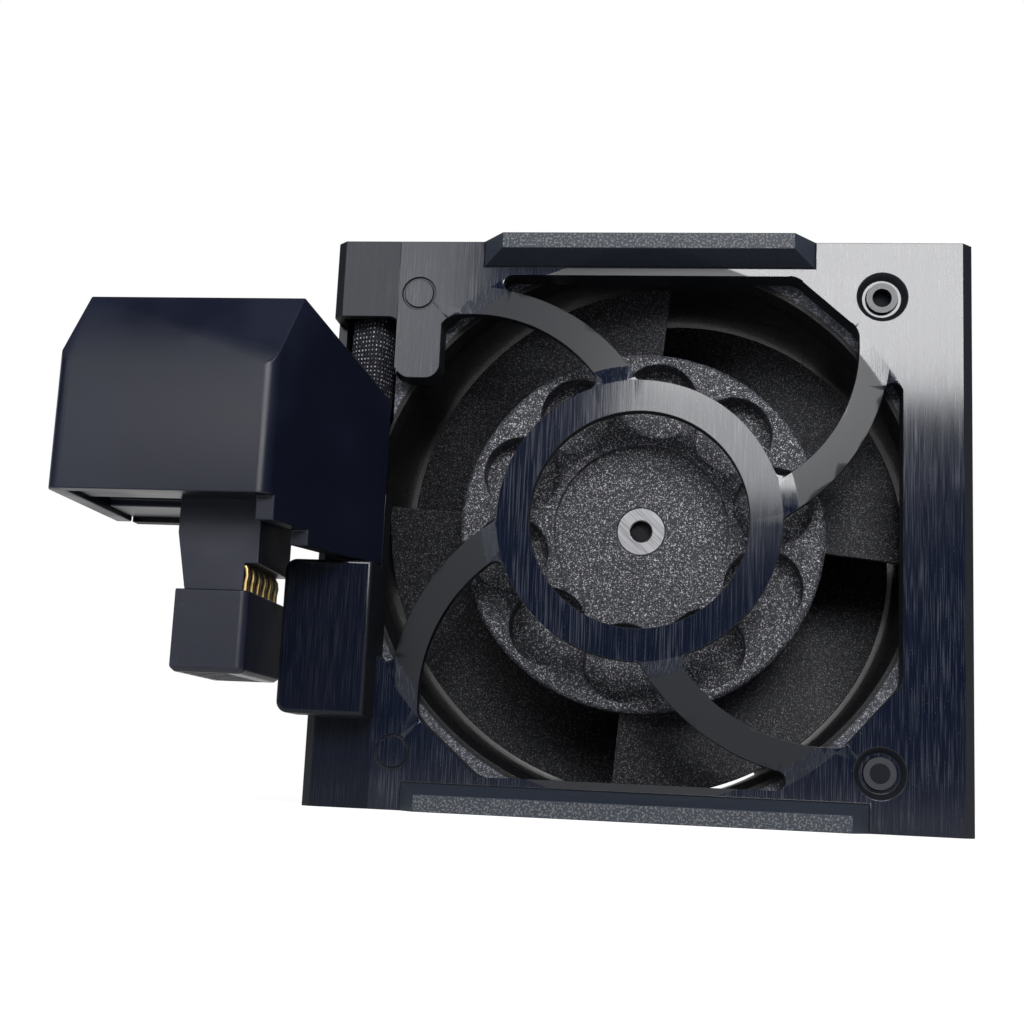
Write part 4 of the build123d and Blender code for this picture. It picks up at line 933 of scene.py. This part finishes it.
@dataclass
class PlugContacts:
    """The sprung contacts on the plug's side.

    Attributes:
        pitch: the step from one contact to the next, in millimetres.
        width: the width of a contact.
        thickness: its thickness.
        count: the number of contacts.
        inset: how far the row lies inside the solid's right side.
        foot: how far a contact's foot lies above the solid's lower end.
        leaf: how far below the solid's upper end the bent leaf begins.
        rise: the steps of that leaf, outwards and upwards.
        edge: rounding of a contact.
        angle: the sharpness in degrees past which its edges are rounded.
    """

    pitch: float = 2.1
    width: float = 0.8
    thickness: float = 0.3
    count: int = 6
    inset: float = 0.1
    foot: float = 0.2
    leaf: float = 2.8
    rise: tuple[Pair, ...] = ((0.0, 0.9), (0.12, 0.7), (-0.1, 0.7), (-0.2, 0.35))
    edge: float = 0.06
    angle: float = 30.0

    def build(self) -> None:
        """Makes one contact and copies it down the row, then joins the row."""
        low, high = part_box("connector_terminals")
        middle = (low.y + high.y) / 2 / MM
        contact = self.contact(low / MM, high / MM)
        row = []
        for i in range(self.count):
            twin = Bench.twin(contact)
            twin.location.y = (middle + self.pitch * (i - (self.count - 1) / 2)) * MM
            row.append(twin)
        bpy.data.objects.remove(contact)
        bpy.ops.object.select_all(action="DESELECT")
        for twin in row:
            twin.select_set(True)
        bpy.context.view_layer.objects.active = row[0]
        bpy.ops.object.join()
        row[0].name = "plug_contacts"
        Bench.settle(row[0])
        deliver(row[0], GOLD, Body.MODULE, "contact_gold", "connector_terminals")

    def contact(self, low: Vector, high: Vector) -> Piece:
        """One contact with its bent leaf, from the solid's corners in millimetres."""
        outer = high.x - self.inset
        contact = Bench.block(
            "plug_contacts",
            (outer - self.thickness, -self.width / 2, low.z + self.foot),
            (outer, self.width / 2, high.z - self.leaf),
        )
        with Bench.editing(contact):
            Bench.pick(contact, lambda normal: normal.z > FACING)
            for outwards, upwards in self.rise:
                step = (outwards * MM, 0.0, upwards * MM)
                bpy.ops.mesh.extrude_region_move(TRANSFORM_OT_translate={"value": step})
        Bench.round_edges(contact, self.edge, self.angle)
        return contact


@dataclass
class WovenSleeve:
    """The woven sleeve over the leads, along its route.

    Attributes:
        radius: the sleeve's radius, in millimetres.
        cell: the size of one stitch.
        sides: the faces around it.
        slack: the share of the radius that the skin keeps between folds.
        folds: sets of folds: height as a share of the radius, number, radians to the metre.
        smooth: the angle in degrees up to which its faces are shaded as one.
        route: the points that the sleeve's line is drawn from, in millimetres.
    """

    radius: float = 2.6
    cell: float = 0.46
    sides: int = 44
    slack: float = 0.93
    folds: tuple[tuple[float, int, float], ...] = ((0.045, 5, 160.0), (0.03, 3, -310.0))
    smooth: float = 60.0
    route: tuple[Point, ...] = (
        (-27.61, 34.3, 49.63),
        (-30.35, 34.3, 51.47),
        (-30.40, 27.4, 52.79),
        (-30.47, 15.7, 55.04),
        (-30.55, 3.9, 57.3),
        (-30.55, 3.9, 38.9),
        (-35.00, -0.7, 38.9),
        (-41.25, -7.2, 38.9),
        (-41.25, -7.2, 35.6),
    )

    def build(self) -> None:
        """Draws the line, wraps the mesh about it and maps the weave on it."""
        line = self.line()
        rings = []
        side = Vector((0.0, 0.0, 1.0))
        travelled = 0.0
        lengths = []
        for i, point in enumerate(line):
            ahead = line[min(i + 1, len(line) - 1)] - line[max(i - 1, 0)]
            ahead.normalize()
            side = (side - ahead * side.dot(ahead)).normalized()
            cross = ahead.cross(side)
            travelled += (point - line[i - 1]).length if i else 0.0
            lengths.append(travelled)
            rings.append([self.skin(point, side, cross, travelled, k) for k in range(self.sides)])
        mesh = bpy.data.meshes.new("woven_sleeve")
        mesh.from_pydata([corner for ring in rings for corner in ring], [], self.faces(len(rings)))
        self.map_weave(mesh, lengths)
        piece = bpy.data.objects.new("woven_sleeve", mesh)
        bpy.context.scene.collection.objects.link(piece)
        Bench.take(piece)
        bpy.ops.object.shade_smooth_by_angle(angle=math.radians(self.smooth))
        deliver(piece, FABRIC, Body.MODULE, "braid", "sleeved_cable")

    def faces(self, rings: int) -> list[tuple[int, ...]]:
        """The corners of each face between a number of rings, and of both ends."""
        faces = []
        for ring in range(rings - 1):
            here = ring * self.sides
            beyond = here + self.sides
            for k in range(self.sides):
                after = (k + 1) % self.sides
                faces.append((here + k, here + after, beyond + after, beyond + k))
        last = (rings - 1) * self.sides
        faces.append(tuple(range(self.sides - 1, -1, -1)))
        faces.append(tuple(range(last, last + self.sides)))
        return faces

    def line(self) -> list[Vector]:
        """The points along the route's smooth spline, in metres."""
        curve = bpy.data.curves.new("sleeve_route", "CURVE")
        curve.dimensions = "3D"
        curve.resolution_u = 16
        spline = curve.splines.new("NURBS")
        spline.points.add(len(self.route) - 1)
        for point, place in zip(spline.points, self.route):
            point.co = (*(value * MM for value in place), 1.0)
        spline.order_u = 3
        spline.use_endpoint_u = True
        holder = bpy.data.objects.new("sleeve_route", curve)
        bpy.context.scene.collection.objects.link(holder)
        drawn = bpy.data.meshes.new_from_object(holder)
        points = [vertex.co.copy() for vertex in drawn.vertices]
        bpy.data.objects.remove(holder)
        bpy.data.curves.remove(curve)
        bpy.data.meshes.remove(drawn)
        return points

    def skin(
        self, point: Vector, side: Vector, cross: Vector, travelled: float, k: int
    ) -> Vector:
        """One corner of the sleeve's skin, with soft folds along it."""
        angle = math.tau * k / self.sides
        fold = sum(
            height * math.sin(count * angle + travelled * twist)
            for height, count, twist in self.folds
        )
        reach = self.radius * MM * (self.slack + fold)
        return point + reach * (math.cos(angle) * side + math.sin(angle) * cross)

    def map_weave(self, mesh: bpy.types.Mesh, lengths: Sequence[float]) -> None:
        """A UV map in stitches: around the sleeve and along it."""
        around = round(math.tau * self.radius / self.cell)
        layer = mesh.uv_layers.new(name=WEAVE)
        for face in mesh.polygons:
            corners = [mesh.loops[i].vertex_index for i in face.loop_indices]
            columns = {index % self.sides for index in corners}
            wraps = len(corners) == 4 and columns == {0, self.sides - 1}
            for loop, index in zip(face.loop_indices, corners):
                ring, k = divmod(index, self.sides)
                share = 1.0 if wraps and k == 0 else k / self.sides
                layer.data[loop].uv = (share * around, lengths[ring] / (self.cell * MM))


class Trim:
    """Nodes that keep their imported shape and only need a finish."""

    def build(self) -> None:
        """Dresses each node."""
        finishes = {
            "front_bearing": BEARING,
            "rear_bearing": BEARING,
            "bearing_tube": BRASS,
            "preload_washer": STEEL,
            "end_plug": RIVET,
            "stator_core": CORE,
            "stator_insulators": NYLON,
            "stator_coils": COPPER,
            "circuit_board": BOARD,
            "board_components": CHIP,
            "push_rivets": RIVET,
            "rivet_pins": PIN,
            "rubber_pads": RUBBER,
            "motor_leads": LEAD,
            "plug_leads": LEAD,
            "hood_screws": ZINC,
        }
        for node, finish in finishes.items():
            dress_node(node, finish)


@dataclass(frozen=True)
class Lamp:
    """A rectangular soft lamp.

    Attributes:
        name: the lamp's name.
        place: its middle, in metres.
        aim: the point that it faces.
        sides: its width and height.
        radiance: how bright its face is, where 1 is white.
    """

    name: str
    place: Point
    aim: Point
    sides: Pair
    radiance: float

    def hang(self) -> None:
        """Puts the lamp into the scene."""
        light = bpy.data.lights.new(self.name, "AREA")
        light.shape = "RECTANGLE"
        light.size, light.size_y = self.sides
        light.energy = self.radiance * math.pi * light.size * light.size_y
        holder = bpy.data.objects.new(self.name, light)
        ahead = Vector(self.aim) - Vector(self.place)
        turn = ahead.to_track_quat("-Z", "Y").to_matrix().to_4x4()
        holder.matrix_world = Matrix.Translation(self.place) @ turn
        bpy.context.scene.collection.objects.link(holder)


@dataclass
class Studio:
    """The floor, the lamps, the world and the camera.

    Attributes:
        eye: the camera's place, in millimetres.
        right: the camera's right-hand direction.
        up: its upward direction.
        ahead: the direction that it looks in.
        lens: its focal length, in millimetres.
        sensor: the width of its sensor.
        white: the background.
        room: the light of the room on all sides.
        backdrop_edge: a direction's Y from which mirrors show white.
        backdrop_step: how soft that edge is.
        floor_size: the floor's width, in metres.
        paper: the floor's colour as the light finds it.
        shadow_paper: the share of it that shows shadows to the camera.
        glow: the even white that is added to that share.
        shadow_reach: how far from the module the floor shows shadows, in metres.
        lamps: the lamps.
    """

    eye: Point = (6.3, -158.53, 3.67)
    right: Point = (0.9921, 0.1161, 0.0463)
    up: Point = (-0.0252, -0.1775, 0.9838)
    ahead: Point = (-0.1224, 0.9772, 0.1732)
    lens: float = 53.49
    sensor: float = 36.0
    white: Colour = (1.0, 1.0, 1.0)
    room: Colour = (0.055, 0.070, 0.110)
    backdrop_edge: float = 0.35
    backdrop_step: float = 0.3
    floor_size: float = 6.0
    paper: Colour = (0.5, 0.5, 0.5)
    shadow_paper: Colour = (0.25, 0.25, 0.25)
    glow: float = 0.88
    shadow_reach: float = 0.22
    lamps: tuple[Lamp, ...] = (
        Lamp("window", (0.105, -0.49, 0.279), (0.105, 0.0, 0.279), (0.25, 0.212), 26.0),
        Lamp("pane", (0.022, -0.49, 0.153), (0.022, 0.0, 0.153), (0.105, 0.056), 13.0),
        Lamp("corner", (-0.147, -0.49, 0.235), (-0.147, 0.0, 0.235), (0.105, 0.14), 5.5),
        Lamp("side", (-0.40, -0.46, 0.27), (-0.05, 0.0, 0.03), (0.42, 0.46), 2.1),
        Lamp("rear", (0.10, 0.55, 0.55), (0.0, 0.01, 0.031), (0.50, 0.50), 3.0),
    )

    def build(self) -> None:
        """Sets up the whole studio."""
        bpy.context.scene.view_settings.view_transform = "Standard"
        self.camera()
        self.world()
        self.floor()
        for lamp in self.lamps:
            lamp.hang()

    def camera(self) -> None:
        """The camera at the photograph's place and angle."""
        camera = bpy.data.objects.new("camera", bpy.data.cameras.new("camera"))
        camera.data.lens = self.lens
        camera.data.sensor_width = self.sensor
        camera.data.clip_start = MM
        back = -Vector(self.ahead)
        turn = Matrix((Vector(self.right), Vector(self.up), back)).transposed().to_4x4()
        camera.matrix_world = Matrix.Translation(Vector(self.eye) * MM) @ turn
        bpy.context.scene.collection.objects.link(camera)
        bpy.context.scene.camera = camera

    def world(self) -> None:
        """A white background, which mirrors show behind the module, and a dim room."""
        world = bpy.data.worlds.new("room")
        bpy.context.scene.world = world
        world.use_nodes = True
        graph = Graph(world.node_tree)
        direction = graph.node("ShaderNodeTexCoord", output="Generated")
        behind = graph.ramp(
            graph.part(direction, Axis.Y),
            self.backdrop_edge,
            self.backdrop_edge + self.backdrop_step,
        )
        seen = graph.ray("Camera").larger(graph.ray("Transmission"))
        white = seen.larger(graph.ray("Glossy") * behind)
        room = graph.node("ShaderNodeBackground", {}, {"Color": self.room})
        backdrop = graph.node("ShaderNodeBackground", {}, {"Color": self.white})
        graph.close("ShaderNodeOutputWorld", graph.mix(white, room, backdrop))

    def floor(self) -> None:
        """A wide pale floor that shows white and keeps the object's shadow."""
        bpy.ops.object.select_all(action="DESELECT")
        bpy.ops.mesh.primitive_plane_add(size=self.floor_size)
        floor = bpy.context.object
        floor.name = "floor"
        material = bpy.data.materials.new("floor_paper")
        material.use_nodes = True
        graph = Graph(material.node_tree)
        seen = graph.ray("Camera").larger(graph.ray("Glossy"))
        shown = seen.larger(graph.ray("Transmission"))
        reach = graph.length(graph.node("ShaderNodeTexCoord", output="Object"))
        far = graph.ramp(reach, self.shadow_reach, 2 * self.shadow_reach)
        paper = graph.node("ShaderNodeBsdfDiffuse", {}, {"Color": self.paper})
        thin = graph.node("ShaderNodeBsdfDiffuse", {}, {"Color": self.shadow_paper})
        glow = graph.node("ShaderNodeEmission", {}, {"Strength": self.glow})
        near = graph.node("ShaderNodeAddShader", {}, {0: thin, 1: glow})
        ground = graph.mix(far, near, graph.node("ShaderNodeEmission"))
        graph.close("ShaderNodeOutputMaterial", graph.mix(shown, paper, ground))
        floor.data.materials.append(material)


def main() -> None:
    """Builds the studio and every sub-assembly."""
    logging.basicConfig(level=logging.INFO, format="%(name)s: %(message)s")
    Studio().build()
    for assembly in (Mouldings(), Rotor(), PlugContacts(), WovenSleeve(), Trim()):
        log.info("%s", type(assembly).__name__)
        assembly.build()


if __name__ == "__main__":
    main()
